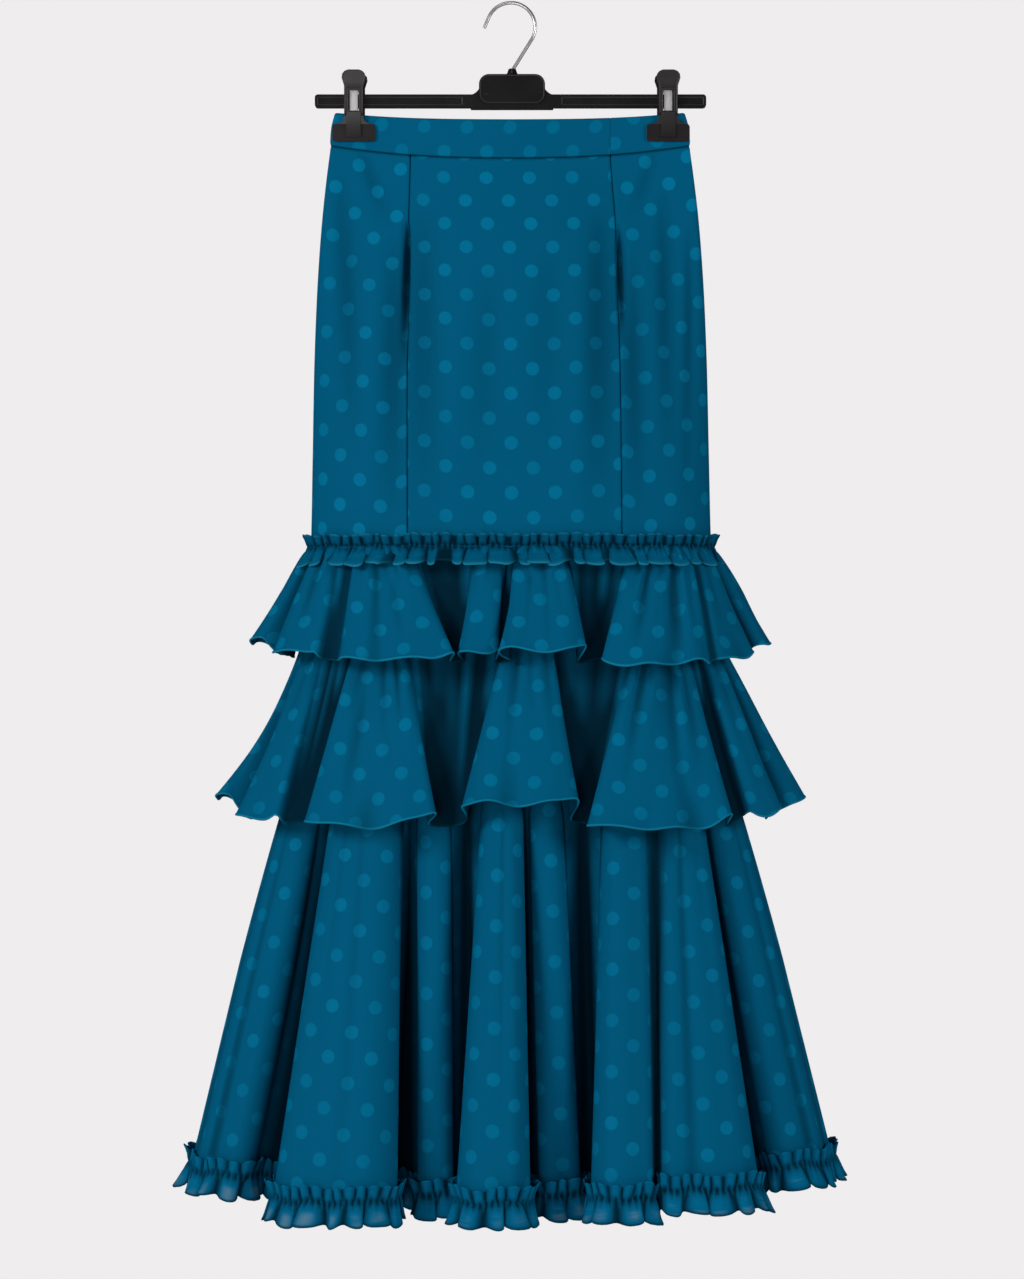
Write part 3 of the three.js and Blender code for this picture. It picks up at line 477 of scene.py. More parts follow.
def body_point(side, across, z):
    """Points of the body. side is -1 in front and 1 behind, across from -1 left to 1 right."""
    across, z = np.broadcast_arrays(np.asarray(across, float), np.asarray(z, float))
    width = body_size("width", z)
    depth = body_size("front" if side < 0 else "back", z)
    opened = np.clip(body_size("round", z), 0, 1)
    share = np.abs(across)
    flat_x = (width - PINCH) * share / EDGE_TURN
    belly = np.where(flat_x < BELLY_END, np.cos(np.pi / 2 * flat_x / BELLY_END) ** 2, 0)
    turn = np.pi / 2 * (share - EDGE_TURN) / (1 - EDGE_TURN)
    on_flat = share < EDGE_TURN
    waist_x = np.where(on_flat, flat_x, width - PINCH + PINCH * np.sin(turn))
    waist_y = np.where(on_flat, PINCH + (depth - PINCH) * belly, PINCH * np.cos(turn))
    angle = np.pi / 2 * share
    oval_x = width * np.sin(angle)
    oval_y = depth * np.clip(np.cos(angle), 0, 1) ** SQUARE
    x = waist_x + (oval_x - waist_x) * opened
    y = waist_y + (oval_y - waist_y) * opened
    hang = body_size("sag", z) * (1 - np.clip(x / width, 0, 1) ** SAG_ROUND)
    return np.stack([body_size("lean", z) + np.sign(across) * x, side * y, z - hang], axis=-1)


def across_at(x, z):
    """How far across the front the body has a given x, by halving."""
    low, high = np.full(z.shape, -1.0), np.full(z.shape, 1.0)
    for step in range(40):
        middle = (low + high) / 2
        less = body_point(-1, middle, z)[..., 0] < x
        low, high = np.where(less, middle, low), np.where(less, high, middle)
    return (low + high) / 2


def hip_point(degrees, z):
    """Points of the body by their angle from the centre front, -90 being the left side."""
    turn = (np.asarray(degrees, float) + 90) % 360 - 90
    front = body_point(-1, turn / 90, z)
    behind = body_point(1, (180 - turn) / 90, z)
    return np.where((turn <= 90)[..., None], front, behind)


def beside_hip(degrees, z, distance):
    """Points of the body moved straight out from it."""
    tangent = hip_point(degrees + 1, z) - hip_point(degrees - 1, z)
    normal = np.stack([tangent[..., 1], -tangent[..., 0], np.zeros(tangent.shape[:-1])], axis=-1)
    normal /= np.linalg.norm(normal, axis=-1, keepdims=True)
    return hip_point(degrees, z) + normal * np.asarray(distance, float)[..., None]


for name, z in (("waist", BAND_TOP), ("hip", HIP_Z)):
    around = hip_point(np.linspace(-90.0, 270.0, 721), np.full(721, float(z)))
    print(name, "measures", round(run_lengths(around[None], 1)[0, -1]), "mm round")

# %% [markdown]
# ## Soft folds in the body
# Hanging cloth isn't even: where the fitted gores are let out towards the hips, they sink
# beside the seams in long soft troughs. Each is a row of a table with its two ends, its
# width and its depth. Next to each front seam, where the tube first widens, the cloth folds in
# more sharply, like a narrow spindle. The seams are fine grooves, because both edges turn in.
# Cloth simulation would find troughs of its own, but not these, so they are listed one by one.

# %% Troughs and seams
FOLD_COLUMNS = ("side", "x_top", "z_top", "x_foot", "z_foot", "wide", "deep")
BODY_FOLDS = [
    (-1, -103.5, -215, -107.5, -375, 4.0, 14),
    (-1, -116, -230, -120, -545, 12, 6.5),
    (-1, -168, -170, -160, -460, 10, 5.0),
    (-1, -90, -200, -84, -545, 15, 5.0),
    (-1, 108.5, -222, 112.0, -345, 4.0, 12),
    (-1, 122, -250, 128, -545, 12, 5.5),
    (-1, 92, -200, 88, -545, 16, 6.5),
    (-1, 154, -180, 160, -490, 10, 4.6),
    (-1, 180, -220, 176, -530, 6, 3.4),
    (-1, -148, -144, -122, -225, 7, 3.4),
    (-1, 146, -144, 124, -215, 7, 3.0),
    (-1, -20, -260, -34, -520, 18, 2.6),
    (-1, 38, -240, 30, -500, 20, 2.2),
    (1, 8, -200, 13, -345, 5, 5.0),
    (1, -70, -240, -78, -500, 10, 2.8),
    (1, 84, -230, 90, -510, 10, 2.8),
    (1, -140, -200, -150, -430, 9, 2.6),
    (1, 145, -190, 150, -460, 9, 2.6),
]
FOLD_WIDEN = 0.5
SEAM_DEEP = 0.7
SEAM_WIDE = 1.5
SEAM_TURN = 1.3


def body_folds(side, points):
    """How far the body's cloth sinks at each point of one side."""
    x, z = points[..., 0], points[..., 2]
    depth = np.zeros(x.shape)
    for row in BODY_FOLDS:
        fold = dict(zip(FOLD_COLUMNS, row))
        if fold["side"] != side:
            continue
        share = (z - fold["z_top"]) / (fold["z_foot"] - fold["z_top"])
        middle = fold["x_top"] + (fold["x_foot"] - fold["x_top"]) * share
        fade = np.sin(np.pi * np.clip(share, 0, 1) ** 0.7) ** 1.2
        wide = fold["wide"] * (0.7 + FOLD_WIDEN * np.clip(share, 0, 1))
        depth += fold["deep"] * np.clip(fade, 0, 1) * np.exp(-((x - middle) / wide) ** 2)
    return depth


def seam_groove(distance):
    """How far a gore's edge sinks at a distance from its seam, in millimetres."""
    return SEAM_DEEP * np.exp(-((distance / SEAM_WIDE) ** 2))


print("troughs in front and behind:", [sum(row[0] == side for row in BODY_FOLDS) for side in (-1, 1)])

# %% [markdown]
# ## Laying out a gore
# A gore is one upright panel of the body. It is laid out between two seams, with close columns
# beside each seam, so that the groove is crisp, and even ones between. Under the flounces it
# steps back a little, because there it only carries their seams and must stay clear of them.

# %% Grid of a gore
SEAM_STEPS = np.array([0, 0.7, 1.5, 2.6, 4.4])
COLUMN_STEP = 4.0
ROW_STEP = 4.5
FOLD_FULL = 18
FOLD_SHADE = 0.6
SEAM_SHADE = 0.12
MOST_GORE_SHADE = 0.8
UNDER_FROM = -552
UNDER_LONG = 20
UNDER_DEEP = 7


def seam_place(edge, z):
    """Where a gore's edge lies across its side, at each height."""
    if isinstance(edge, str):
        return across_at(body_size(edge, z), z)
    return np.full(z.shape, float(edge))


def gore_grid(side, left, right, heights, seam=1.0):
    """The outer face of a gore, with its seam grooves and soft folds, and the painted shade in them."""
    z = np.asarray(heights, float)
    first, last = seam_place(left, z), seam_place(right, z)
    coarse = np.linspace(0, 1, 400)
    line = body_point(side, first[:, None] + (last - first)[:, None] * coarse, z[:, None])
    length = run_lengths(line, 1)
    total = length[:, -1]
    steps = int(round((total.mean() - 2 * SEAM_STEPS[-1]) / COLUMN_STEP))
    grid = np.zeros((len(z), steps - 1 + 2 * len(SEAM_STEPS), 3))
    near_seam = np.zeros(grid.shape[:2])
    for r in range(len(z)):
        middle = np.linspace(SEAM_STEPS[-1], total[r] - SEAM_STEPS[-1], steps + 1)[1:-1]
        wanted = np.concatenate([SEAM_STEPS, middle, total[r] - SEAM_STEPS[::-1]])
        share = np.interp(wanted, length[r], coarse)
        grid[r] = body_point(side, first[r] + (last[r] - first[r]) * share, z[r])
        near_seam[r] = np.minimum(wanted, total[r] - wanted)
    folds = body_folds(side, grid)
    groove = seam_groove(near_seam)
    sink = folds + seam * groove
    sink += UNDER_DEEP * np.clip((UNDER_FROM - z) / UNDER_LONG, 0, 1)[:, None]
    sink[:, [0, -1]] += seam * SEAM_TURN
    # Painted shade: darker in the troughs and along the seam grooves.
    hollow = np.clip(folds / FOLD_FULL, 0, FOLD_SHADE) + SEAM_SHADE * seam * groove / SEAM_DEEP
    return grid - outward(grid) * sink[..., None], {"hollow": np.clip(hollow, 0, MOST_GORE_SHADE)}


print("columns beside each seam:", len(SEAM_STEPS))

# %% [markdown]
# ## The five gores
# Three gores make the front and two the back, joined at the sides and down the centre back.
# Their tops turn in under the waistband's foot. Each has its own place in the dots' lattice,
# since a cutter can't match dots along curved seams.

# %% Gores
GORE_CLOTH = 1.0
GORE_TOP_SHADE = 0.7
GORES = [
    {"name": "Front_left_gore", "node": "panel_front_left", "side": -1, "left": -1, "right": "seam_l",
     "hangs_from": "waistband_front", "dots": (-10.0, -9.0)},
    {"name": "Front_centre_gore", "node": "panel_front_centre", "side": -1,
     "left": "seam_l", "right": "seam_r",
     "hangs_from": "waistband_front", "dots": (5.0, -3.0)},
    {"name": "Front_right_gore", "node": "panel_front_right", "side": -1, "left": "seam_r", "right": 1,
     "hangs_from": "waistband_front_side", "dots": (-14.5, -14.0)},
    {"name": "Back_right_gore", "node": "panel_back_right", "side": 1, "left": 1, "right": 0,
     "hangs_from": "waistband_back_right", "dots": (6.0, -5.0)},
    {"name": "Back_left_gore", "node": "panel_back_left", "side": 1, "left": 0, "right": -1,
     "hangs_from": "waistband_back_left", "dots": (-7.0, -12.0)},
]
VISIBLE_FOOT = -565
GORE_TOP_STEPS = np.array([0, 0.8, 1.8, 3.2])
gore_heights = np.concatenate([
    BAND_FOOT - GORE_TOP_STEPS,
    np.arange(BAND_FOOT - 6, VISIBLE_FOOT, -ROW_STEP),
    np.linspace(VISIBLE_FOOT - 10, BODY_FOOT, 9),
])

for gore in GORES:
    grid, marks = gore_grid(gore["side"], gore["left"], gore["right"], gore_heights)
    top = seam_groove(GORE_TOP_STEPS)
    head = slice(len(top))
    # Painted shade where the gore's top turns in under the waistband.
    shade = GORE_TOP_SHADE * top[:, None] / SEAM_DEEP
    marks["hollow"][head] = np.maximum(marks["hollow"][head], shade)
    grid[head] -= outward(grid)[head] * top[:, None, None]
    uv = grid_uv(grid, grid.shape[1] // 2, gore["dots"])
    piece = shell(gore["name"], grid, GORE_CLOTH, uv, marks=marks)
    dress(piece, crepe, [gore["node"]])

# %% [markdown]
# ## Waistband
# The band is a shaped strip, stiffened inside, that stands a little proud of the gores and
# has its fold along the top. It is cut in four: the front is one strip up to a seam above the
# right front seam, a short strip goes on from there to the side, and two make the back. It is
# laid out like a gore, but with a fainter seam and with both its long edges turned in.

# %% Waistband
BAND_CLOTH = 1.2
BAND_PROUD = 0.5
BAND_SEAM = 0.3
BAND_DOTTED = 0.7
BAND_FOOT_SHADE = 0.6
BANDS = [
    {"name": "Front_waistband", "node": "waistband_front", "side": -1, "left": -1, "right": "seam_r",
     "hangs_from": "clip_left_front", "dots": (4.0, 9.0)},
    {"name": "Front_waistband_side", "node": "waistband_front_side", "side": -1, "left": "seam_r", "right": 1,
     "hangs_from": "clip_right_front", "dots": (15.0, 2.0)},
    {"name": "Back_waistband_right", "node": "waistband_back_right", "side": 1, "left": 1, "right": 0,
     "hangs_from": "clip_right_back", "dots": (0.0, 7.0)},
    {"name": "Back_waistband_left", "node": "waistband_back_left", "side": 1, "left": 0, "right": -1,
     "hangs_from": "clip_left_back", "dots": (9.0, 12.0)},
]
BAND_EDGE_STEPS = np.array([0, 0.5, 1.2, 2.4])
band_heights = np.concatenate([
    BAND_TOP - BAND_EDGE_STEPS,
    np.linspace(BAND_TOP - 5, BAND_FOOT + 4, 9),
    BAND_FOOT + BAND_EDGE_STEPS[::-1],
])
TOP_TURN = np.array([1.3, 0.5, 0.1, 0])

for band in BANDS:
    grid, marks = gore_grid(band["side"], band["left"], band["right"], band_heights, BAND_SEAM)
    marks["dotted"] = BAND_DOTTED
    # Painted shade along the band's foot, where it stands over the gores.
    marks["hollow"][-2:] = np.maximum(marks["hollow"][-2:], BAND_FOOT_SHADE)
    sink = np.full(len(band_heights), -BAND_PROUD)
    sink[:len(TOP_TURN)] += TOP_TURN
    sink[-len(BAND_EDGE_STEPS):] += seam_groove(BAND_EDGE_STEPS[::-1]) + BAND_PROUD / 2
    grid -= outward(grid) * sink[:, None, None]
    uv = grid_uv(grid, grid.shape[1] // 2, band["dots"])
    piece = shell(band["name"], grid, BAND_CLOTH, uv, marks=marks)
    dress(piece, crepe, [band["node"]])

# %% [markdown]
# ## Flounces
# A flounce is cut as part of a ring, so its hem is far longer than its seam and falls in
# deep round folds. Each fold is a row of a table. Its crest stands out from an oval, its two
# fold edges come round, and its neck goes in behind them. A curve through those few points is
# the hem, and straight lines up to the seam give the rest, because cloth cut this way hangs
# in cones. Where a fold is only a shallow wave in the cloth, its dip is near 0.

# %% Folds of the three flounces
# top and hem are a fold's angles from the centre front at the seam and at the hem, and spread
# is half its angle at the seam, all in degrees. At the hem, width is across the fold, reach is
# out from the oval and tuck is in behind the fold's edges. foot is the height of its crest.
FLOUNCE_COLUMNS = ("top", "hem", "spread", "width", "reach", "tuck", "foot", "dip")
FLOUNCES = [
    {"name": "flounce_1", "title": "First_flounce", "seam_z": HIP_Z, "width": 225, "front": 88, "back": 94,
     "valley": -656, "rise": (3.0, 9.0), "row_step": 4.6, "rib": 7.8, "rib_long": (0.3, 1.1), "seed": 11,
     "spring": 1.5, "deeper": 0, "lift": 9, "side_sag": 0, "wave": 2.8, "shade": 0.12, "folds": [
         (-90, -90, 8, 58, 34, 6, -640, 1),
         (-66, -63, 10, 60, 29, 6, -649, 0.45),
         (-38.8, -27.8, 9.5, 108, 34, 6, -655, 1),
         (-6.3, -7.7, 4, 38, 20, 3, -650, 1),
         (8.8, 7.9, 6.8, 85, 35, 9, -646, 1),
         (47.5, 35.4, 12, 102, 34, 8, -659, 0.2),
         (69, 66, 5.5, 50, 28, 6, -653, 0.6),
         (90, 90, 8, 58, 34, 6, -640, 1),
         (116, 117, 10, 72, 32, 7, -650, 1),
         (146, 147, 9, 88, 34, 8, -656, 1),
         (172, 171, 6, 62, 33, 8, -652, 1),
         (199, 195, 9, 88, 35, 8, -657, 1),
         (222, 218, 6, 56, 30, 7, -654, 1),
         (246, 243, 8, 66, 31, 7, -649, 1)]},
    {"name": "flounce_2", "title": "Second_flounce", "seam_z": -632, "width": 255, "front": 97, "back": 103,
     "valley": -812, "rise": (4.0, 12.0), "row_step": 5.5, "rib": 8.0, "rib_long": (0.3, 1.0), "seed": 23,
     "spring": -2.0, "deeper": 0, "lift": 0, "side_sag": 9, "wave": 3.0, "shade": 0.2, "folds": [
         (-90, -90, 8, 62, 38, 6, -795, 1),
         (-69, -66.2, 7, 55, 34, 6, -812, 0.7),
         (-38, -31.2, 9.5, 130, 36, 9, -815, 1),
         (4.3, 1.7, 7.4, 112, 36, 6, -793, 1),
         (47.2, 32.8, 12, 146, 36, 9, -818, 0.75),
         (70, 67.5, 6, 46, 30, 6, -806, 1),
         (90, 90, 8, 62, 38, 6, -793, 1),
         (115, 116, 9, 74, 34, 7, -804, 1),
         (143, 146, 9, 110, 38, 9, -815, 1),
         (175, 174, 7, 92, 36, 8, -806, 1),
         (207, 203, 10, 118, 38, 9, -817, 1),
         (241, 239, 9, 92, 34, 7, -807, 1)]},
    {"name": "flounce_3", "title": "Third_flounce", "seam_z": -757, "width": 283, "front": 78, "back": 86,
     "valley": -1173, "rise": (0.0, 0.0), "row_step": 8.0, "rib": 2.0, "rib_long": (0.06, 0.2), "seed": 37,
     "spring": 7.0, "deeper": 30, "lift": 22, "side_sag": 0, "wave": 0.0, "shade": 0.34, "folds": [
         (-90, -90, 7, 44, 36, 6, -1156, 0.1),
         (-68, -66.5, 8, 54, 48, 8, -1157, 0.8),
         (-41.6, -34.5, 10.5, 121, 80, 16, -1173, 1),
         (-21, -14.8, 3.3, 36, 24, 5, -1173, 1),
         (-2, -3.3, 3.6, 72, 76, 16, -1173, 1),
         (9, 9.6, 3, 42, 24, 5, -1173, 1),
         (32, 20.7, 5, 56, 72, 14, -1170, 0.25),
         (51.6, 40.5, 5.5, 94, 72, 15, -1162, 0.8),
         (70, 67, 7, 52, 46, 8, -1148, 0.1),
         (90, 90, 7, 44, 38, 6, -1150, 1),
         (112, 113.5, 8, 56, 52, 9, -1168, 1),
         (137, 142, 9, 104, 74, 16, -1173, 1),
         (158, 161, 3.5, 34, 30, 5, -1173, 1),
         (178, 178, 6, 88, 72, 16, -1173, 1),
         (197, 196, 3.5, 36, 30, 5, -1173, 1),
         (220, 216, 9, 106, 76, 16, -1173, 1),
         (248, 246, 8, 56, 50, 9, -1168, 1)]},
]
print("folds:", {row["title"]: len(row["folds"]) for row in FLOUNCES})

# %% [markdown]
# ## From the table to the hem
# Seven points stand for each fold and one more for the valley after it, all placed from an
# oval at the hem. The crest, the fold's edges and its neck each take their share of its reach.
# A sine wave would be shorter to write, but its folds would never come round and hide their
# own necks, which is what makes a flounce look full.

# %% Places of a fold
CLOTH = 1.4
SEAM_EASE = 0.7
SHALLOW_SPREAD = 0.2
# A fold's seven places: across its half width at the hem and at the seam, its share of the
# reach, whether the tuck draws it in, and its share of the rise of the fold's edges.
FOLD_PLACES = [
    (-1, -1, 0.12, 1, -0.3),
    (-1, -0.8, 0.62, 0, 1.0),
    (-0.62, -0.4, 0.95, 0, 0.35),
    (0, 0, 1, 0, 0),
    (0.62, 0.4, 0.95, 0, 0.35),
    (1, 0.8, 0.62, 0, 1.0),
    (1, 1, 0.12, 1, -0.3),
]
PLACES = len(FOLD_PLACES) + 1
CREST = 3


def oval_point(degrees, width, front, back):
    """A point of an oval, with its directions out and along, going round past the front."""
    angle = math.radians(degrees)
    depth = front if math.cos(angle) > 0 else back
    squared = math.copysign(abs(math.cos(angle)) ** SQUARE, math.cos(angle))
    point = np.array([width * math.sin(angle), -depth * squared, 0])
    out = np.array([math.sin(angle) / width, -math.cos(angle) / depth, 0])
    out /= np.linalg.norm(out)
    return point, out, np.array([-out[1], out[0], 0])


def flounce_lines(flounce):
    """The angle at the seam, the point at the hem and the room for a frill, place by place."""
    folds = [dict(zip(FLOUNCE_COLUMNS, row)) for row in flounce["folds"]]
    seam, hem, room = [], [], []
    for index, fold in enumerate(folds):
        point, out, along = oval_point(fold["hem"], flounce["width"], flounce["front"], flounce["back"])
        following = folds[(index + 1) % len(folds)]
        for across, at_seam, stand, tucked, rises in FOLD_PLACES:
            dip = folds[index - 1]["dip"] if across < 0 else fold["dip"]
            shallow = 1 + SHALLOW_SPREAD * (1 - dip)
            half = fold["width"] / 2
            if tucked:
                half = half * shallow - fold["tuck"] * max(0, 2 * dip - 1)
            if abs(across) == 1:
                stand = 1 - dip * (1 - stand)
            place = point + along * across * half + out * stand * fold["reach"]
            low = flounce["valley"] + flounce["lift"] * math.sin(math.radians(fold["hem"])) ** 6
            place[2] = low + (fold["foot"] - low) * stand
            place[2] += rises * dip * flounce["rise"][0 if across < 0 else 1]
            hem.append(place)
            seam.append(fold["top"] + at_seam * fold["spread"])
            room.append(0 if tucked else 1)
        turn = 360 if index + 1 == len(folds) else 0
        seam.append((fold["top"] + fold["spread"] + following["top"] + turn - following["spread"]) / 2)
        hem.append(np.zeros(3))
        room.append(0)
    for index, fold in enumerate(folds):
        column = (index + 1) * PLACES - 1
        neck, next_neck = hem[column - 1], hem[(column + 1) % len(hem)]
        out = np.array([next_neck[1] - neck[1], neck[0] - next_neck[0], 0])
        out /= np.linalg.norm(out)
        sink = FOLD_PLACES[0][2] * fold["reach"] + flounce["deeper"] * abs(out[1]) ** 2
        hem[column] = (neck + next_neck) / 2 - out * fold["dip"] * sink
    return np.array(seam), np.array(hem), np.array(room, float)


print("places in each fold:", PLACES)

# %% [markdown]
# ## Smooth rings
# The hem's curve goes through all its points and closes on itself. Bezier curves would need
# handles set by hand, so this one works out its own slopes. The second function finds even
# steps along it, and the third spreads values such as the seam's angles over those steps.

# %% Smooth rings
def round_curve(points, t):
    """A smooth closed curve through points, read at t, which counts them. Its knots are the
    square roots of the chords, which keeps it from looping in tight turns."""
    count = len(points)
    k = np.floor(t).astype(int)
    f = (t - k)[:, None]
    p0, p1, p2, p3 = (points[(k + step) % count] for step in (-1, 0, 1, 2))
    d0, d1, d2 = (np.linalg.norm(b - a, axis=1, keepdims=True) ** 0.5
                  for a, b in ((p0, p1), (p1, p2), (p2, p3)))
    start = ((p1 - p0) / d0 - (p2 - p0) / (d0 + d1) + (p2 - p1) / d1) * d1
    end = ((p2 - p1) / d1 - (p3 - p1) / (d1 + d2) + (p3 - p2) / d2) * d1
    return ((2 * f**3 - 3 * f**2 + 1) * p1 + (f**3 - 2 * f**2 + f) * start
            + (3 * f**2 - 2 * f**3) * p2 + (f**3 - f**2) * end)


def even_places(points, step, first):
    """Values of t round a closed curve, about step millimetres apart, from t = first."""
    fine = np.linspace(first, first + len(points), 24 * len(points) + 1)
    length = run_lengths(round_curve(points, fine)[None], 1)[0]
    count = int(round(length[-1] / step))
    return np.interp(np.linspace(0, length[-1], count + 1), length, fine)


def ring_values(values, t, turn=0.0):
    """Values given place by place round a ring, read at t. turn is what one round adds."""
    count = len(values)
    several = np.concatenate([values - turn, values, values + turn, values[:1] + 2 * turn])
    fine = np.linspace(0, 1, 9)[:-1] - 0.5
    spread = t[:, None] + fine[None] * 0.9
    return np.interp(spread, np.arange(len(several)) - count, several).mean(axis=1)


for flounce in FLOUNCES:
    ring = flounce_lines(flounce)[1]
    fine = round_curve(ring, even_places(ring, 5.0, CREST))
    print(flounce["title"], "hem", round(run_lengths(fine[None], 1)[0, -1]), "mm round")

# %% [markdown]
# ## Gathers and soft troughs
# A flounce is eased onto its seam, so just below the seam its cloth stands in small ribs that
# die away as the flounce widens, and the face of each wide fold sinks in two soft troughs. A
# rib or a trough is a bell curve across the cloth. Each has its own size from a seeded
# chance, because even ones would look like pressed pleats.

# %% Small gathers below each seam
RIB_GAP = (8, 17)
RIB_WIDE = (0.26, 0.36)
RIB_TALL = (0.5, 1.3)
RIB_FULL_FROM = 0.11


def gathers(flounce, along_seam, total, share):
    """The ribs that a flounce's fullness makes just below its seam. Each stands out a little,
    runs down the cone and dies away, and no two are alike."""
    chance = np.random.default_rng(flounce["seed"])
    stand = np.zeros((len(share), len(along_seam)))
    place = 0.0
    while place < total:
        gap = chance.uniform(*RIB_GAP)
        wide = gap * chance.uniform(*RIB_WIDE)
        tall = flounce["rib"] * chance.uniform(*RIB_TALL)
        long = chance.uniform(*flounce["rib_long"])
        away = np.abs(along_seam - place)
        away = np.minimum(away, total - away)
        fade = np.clip(1 - share / long, 0, 1) ** 1.2 * np.clip(0.3 + share / RIB_FULL_FROM, 0, 1)
        stand += tall * fade[:, None] * np.exp(-((away / wide) ** 2))[None]
        place += gap
    return stand


TROUGHS = ((-0.4, 5.0), (0.25, 4.0))
TROUGH_WIDE = 0.17
TROUGH_FOLD = 70


def inner_troughs(flounce, t, share):
    """The soft troughs down the face of each wide fold, deepest in the upper half."""
    chance = np.random.default_rng(flounce["seed"] + 1)
    sink = np.zeros((len(share), len(t)))
    fade = (share ** 0.5 * (1 - 0.75 * share))[:, None]
    for index, row in enumerate(flounce["folds"]):
        fold = dict(zip(FLOUNCE_COLUMNS, row))
        for place, deep in TROUGHS:
            middle = place + chance.uniform(-0.12, 0.12)
            across = (t - index * PLACES - CREST) / 2
            size = deep * chance.uniform(0.6, 1.3) * min(1, fold["width"] / 100)
            if fold["width"] > TROUGH_FOLD:
                sink += size * fade * np.exp(-(((across - middle) / TROUGH_WIDE) ** 2))[None]
    return sink


# %% [markdown]
# ## The surface of a flounce
# The surface starts as straight lines from the seam to the hem. Between two folds the cloth
# hangs down from the seam before it comes out, so there the lines are drawn in early. Then
# the gathers, the troughs and a slow wave near the hem move it in and out along its normal.
# At the sides the ribs are calmer, because the cloth is pulled straight over the hip there.

# %% Cones of the flounces
HEM_STEPS = np.array([3.2, 2.2, 1.3, 0.6, 0])
COLUMN_HEM_STEP = 4.2
VALLEY_SHARE = 0.8


def flounce_cone(flounce, seam_angle, hem):
    """A flounce as straight lines from its seam to its hem, with what was measured on the
    way. share is how far down each row is, and behind how far each column is from a crest."""
    t = even_places(hem, COLUMN_HEM_STEP, CREST)
    angle = ring_values(seam_angle, t, 360.0)
    seam_line = beside_hip(angle, flounce["seam_z"], np.full(len(t), CLOTH + SEAM_EASE))
    hem_line = round_curve(hem, t)
    tall = np.linalg.norm(hem_line - seam_line, axis=1).mean()
    share = np.concatenate([
        np.linspace(0, 1 - 5 / tall, int(tall / flounce["row_step"])),
        1 - HEM_STEPS / tall,
    ])
    grid = seam_line[None] + (hem_line - seam_line)[None] * share[:, None, None]
    level = beside_hip(angle, flounce["seam_z"], np.full(len(t), CLOTH + SEAM_EASE + 1)) - seam_line
    depth = ((hem_line - seam_line) * level).sum(axis=1)
    crest_places = np.arange(CREST, len(hem), PLACES)
    crests = np.interp(crest_places, t, depth)
    behind = np.interp(t, crest_places, crests, period=len(hem)) - depth
    early = (share ** 0.5 - share) * VALLEY_SHARE
    grid -= level[None] * (behind * early[:, None])[..., None]
    return {"t": t, "angle": angle, "seam_line": seam_line, "tall": tall, "share": share,
            "level": level, "behind": behind, "grid": grid,
            "seam_run": run_lengths(seam_line[None], 1)[0],
            "hem_run": run_lengths(hem_line[None], 1)[0]}


print("rows near a rolled hem:", len(HEM_STEPS))

# %% [markdown]
# What stands out of the cones is added up first and moved in one go, because the direction
# out of the cloth should be that of the calm cone and not of one rib after another. The wave
# along the hem also lifts and drops it a little, as a flared edge on the bias does.

# %% Small folds on the cones
RIPPLE_LONG = 58.0
RIPPLE_FROM = 0.45
SPRING_FROM = 0.12
SIDE_CALM = 0.9
SIDE_CALM_TO = 0.5


def hem_ripple(length, total):
    """A slow uneven wave along the hem, as a share from -1 to 1."""
    turns = round(total / RIPPLE_LONG)
    angle = 2 * np.pi * length / total
    return 0.6 * np.sin(turns * angle + 1.4 * np.sin(5 * angle)) + 0.4 * np.sin((turns // 2) * angle + 2.0)


def add_small_folds(flounce, cone):
    """The cone's grid with its gathers, troughs, spring and wave."""
    t, share = cone["t"], cone["share"]
    stand = gathers(flounce, cone["seam_run"], cone["seam_run"][-1], share)
    ripple = hem_ripple(cone["hem_run"], cone["hem_run"][-1])
    near_hem = np.clip((share - RIPPLE_FROM) / (1 - RIPPLE_FROM), 0, 1) ** 2
    sprung = np.clip(share / SPRING_FROM, 0, 1) * (1 - share) / (1 - SPRING_FROM)
    stand += flounce["spring"] * sprung[:, None]
    side_on = np.abs(np.sin(np.radians(cone["angle"]))) ** 6
    stand *= 1 - SIDE_CALM * side_on[None] * np.clip(1 - share / SIDE_CALM_TO, 0, 1)[:, None]
    stand += flounce["wave"] * near_hem[:, None] * ripple[None]
    stand -= inner_troughs(flounce, t, share)
    places = len(flounce["folds"]) * PLACES
    from_left = np.minimum(np.abs(t - CREST), np.abs(t - CREST - places))
    left = np.exp(-((from_left / 2.5) ** 2))
    stand -= flounce["side_sag"] * np.sin(np.pi * share)[:, None] * left[None]
    grid = cone["grid"] + outward(cone["grid"]) * stand[..., None]
    grid[..., 2] += flounce["wave"] * near_hem[:, None] * np.roll(ripple, 3)[None]
    return grid


print("a wave of the hem is about", RIPPLE_LONG, "mm long")

# %% [markdown]
# ## Shade and dots of a flounce
# A point lies in a hollow if it stands behind its neighbours, and this is measured over a
# short reach for the ribs and over a long one for the folds; the deeper it lies, the more
# painted shade it gets. The cloth between two folds also gets painted shade near the seam,
# where little light gets in, and the dots fade where the shade is painted. The dots start
# afresh at each fold's crest, because on a flared piece the lattice can't stay in step from
# one fold to the next.

# %% Marks of the flounces
SHADE_REACHES = ((4, 1.7, 0.65), (12, 16.0, 0.75))
SHADE_SHARE = 0.85
BEHIND_FULL = 32.0
MOST_SHADE = 0.9
FLOUNCE_DOTTED = 0.8
FOLD_DOTS = (17.0, 9.0)


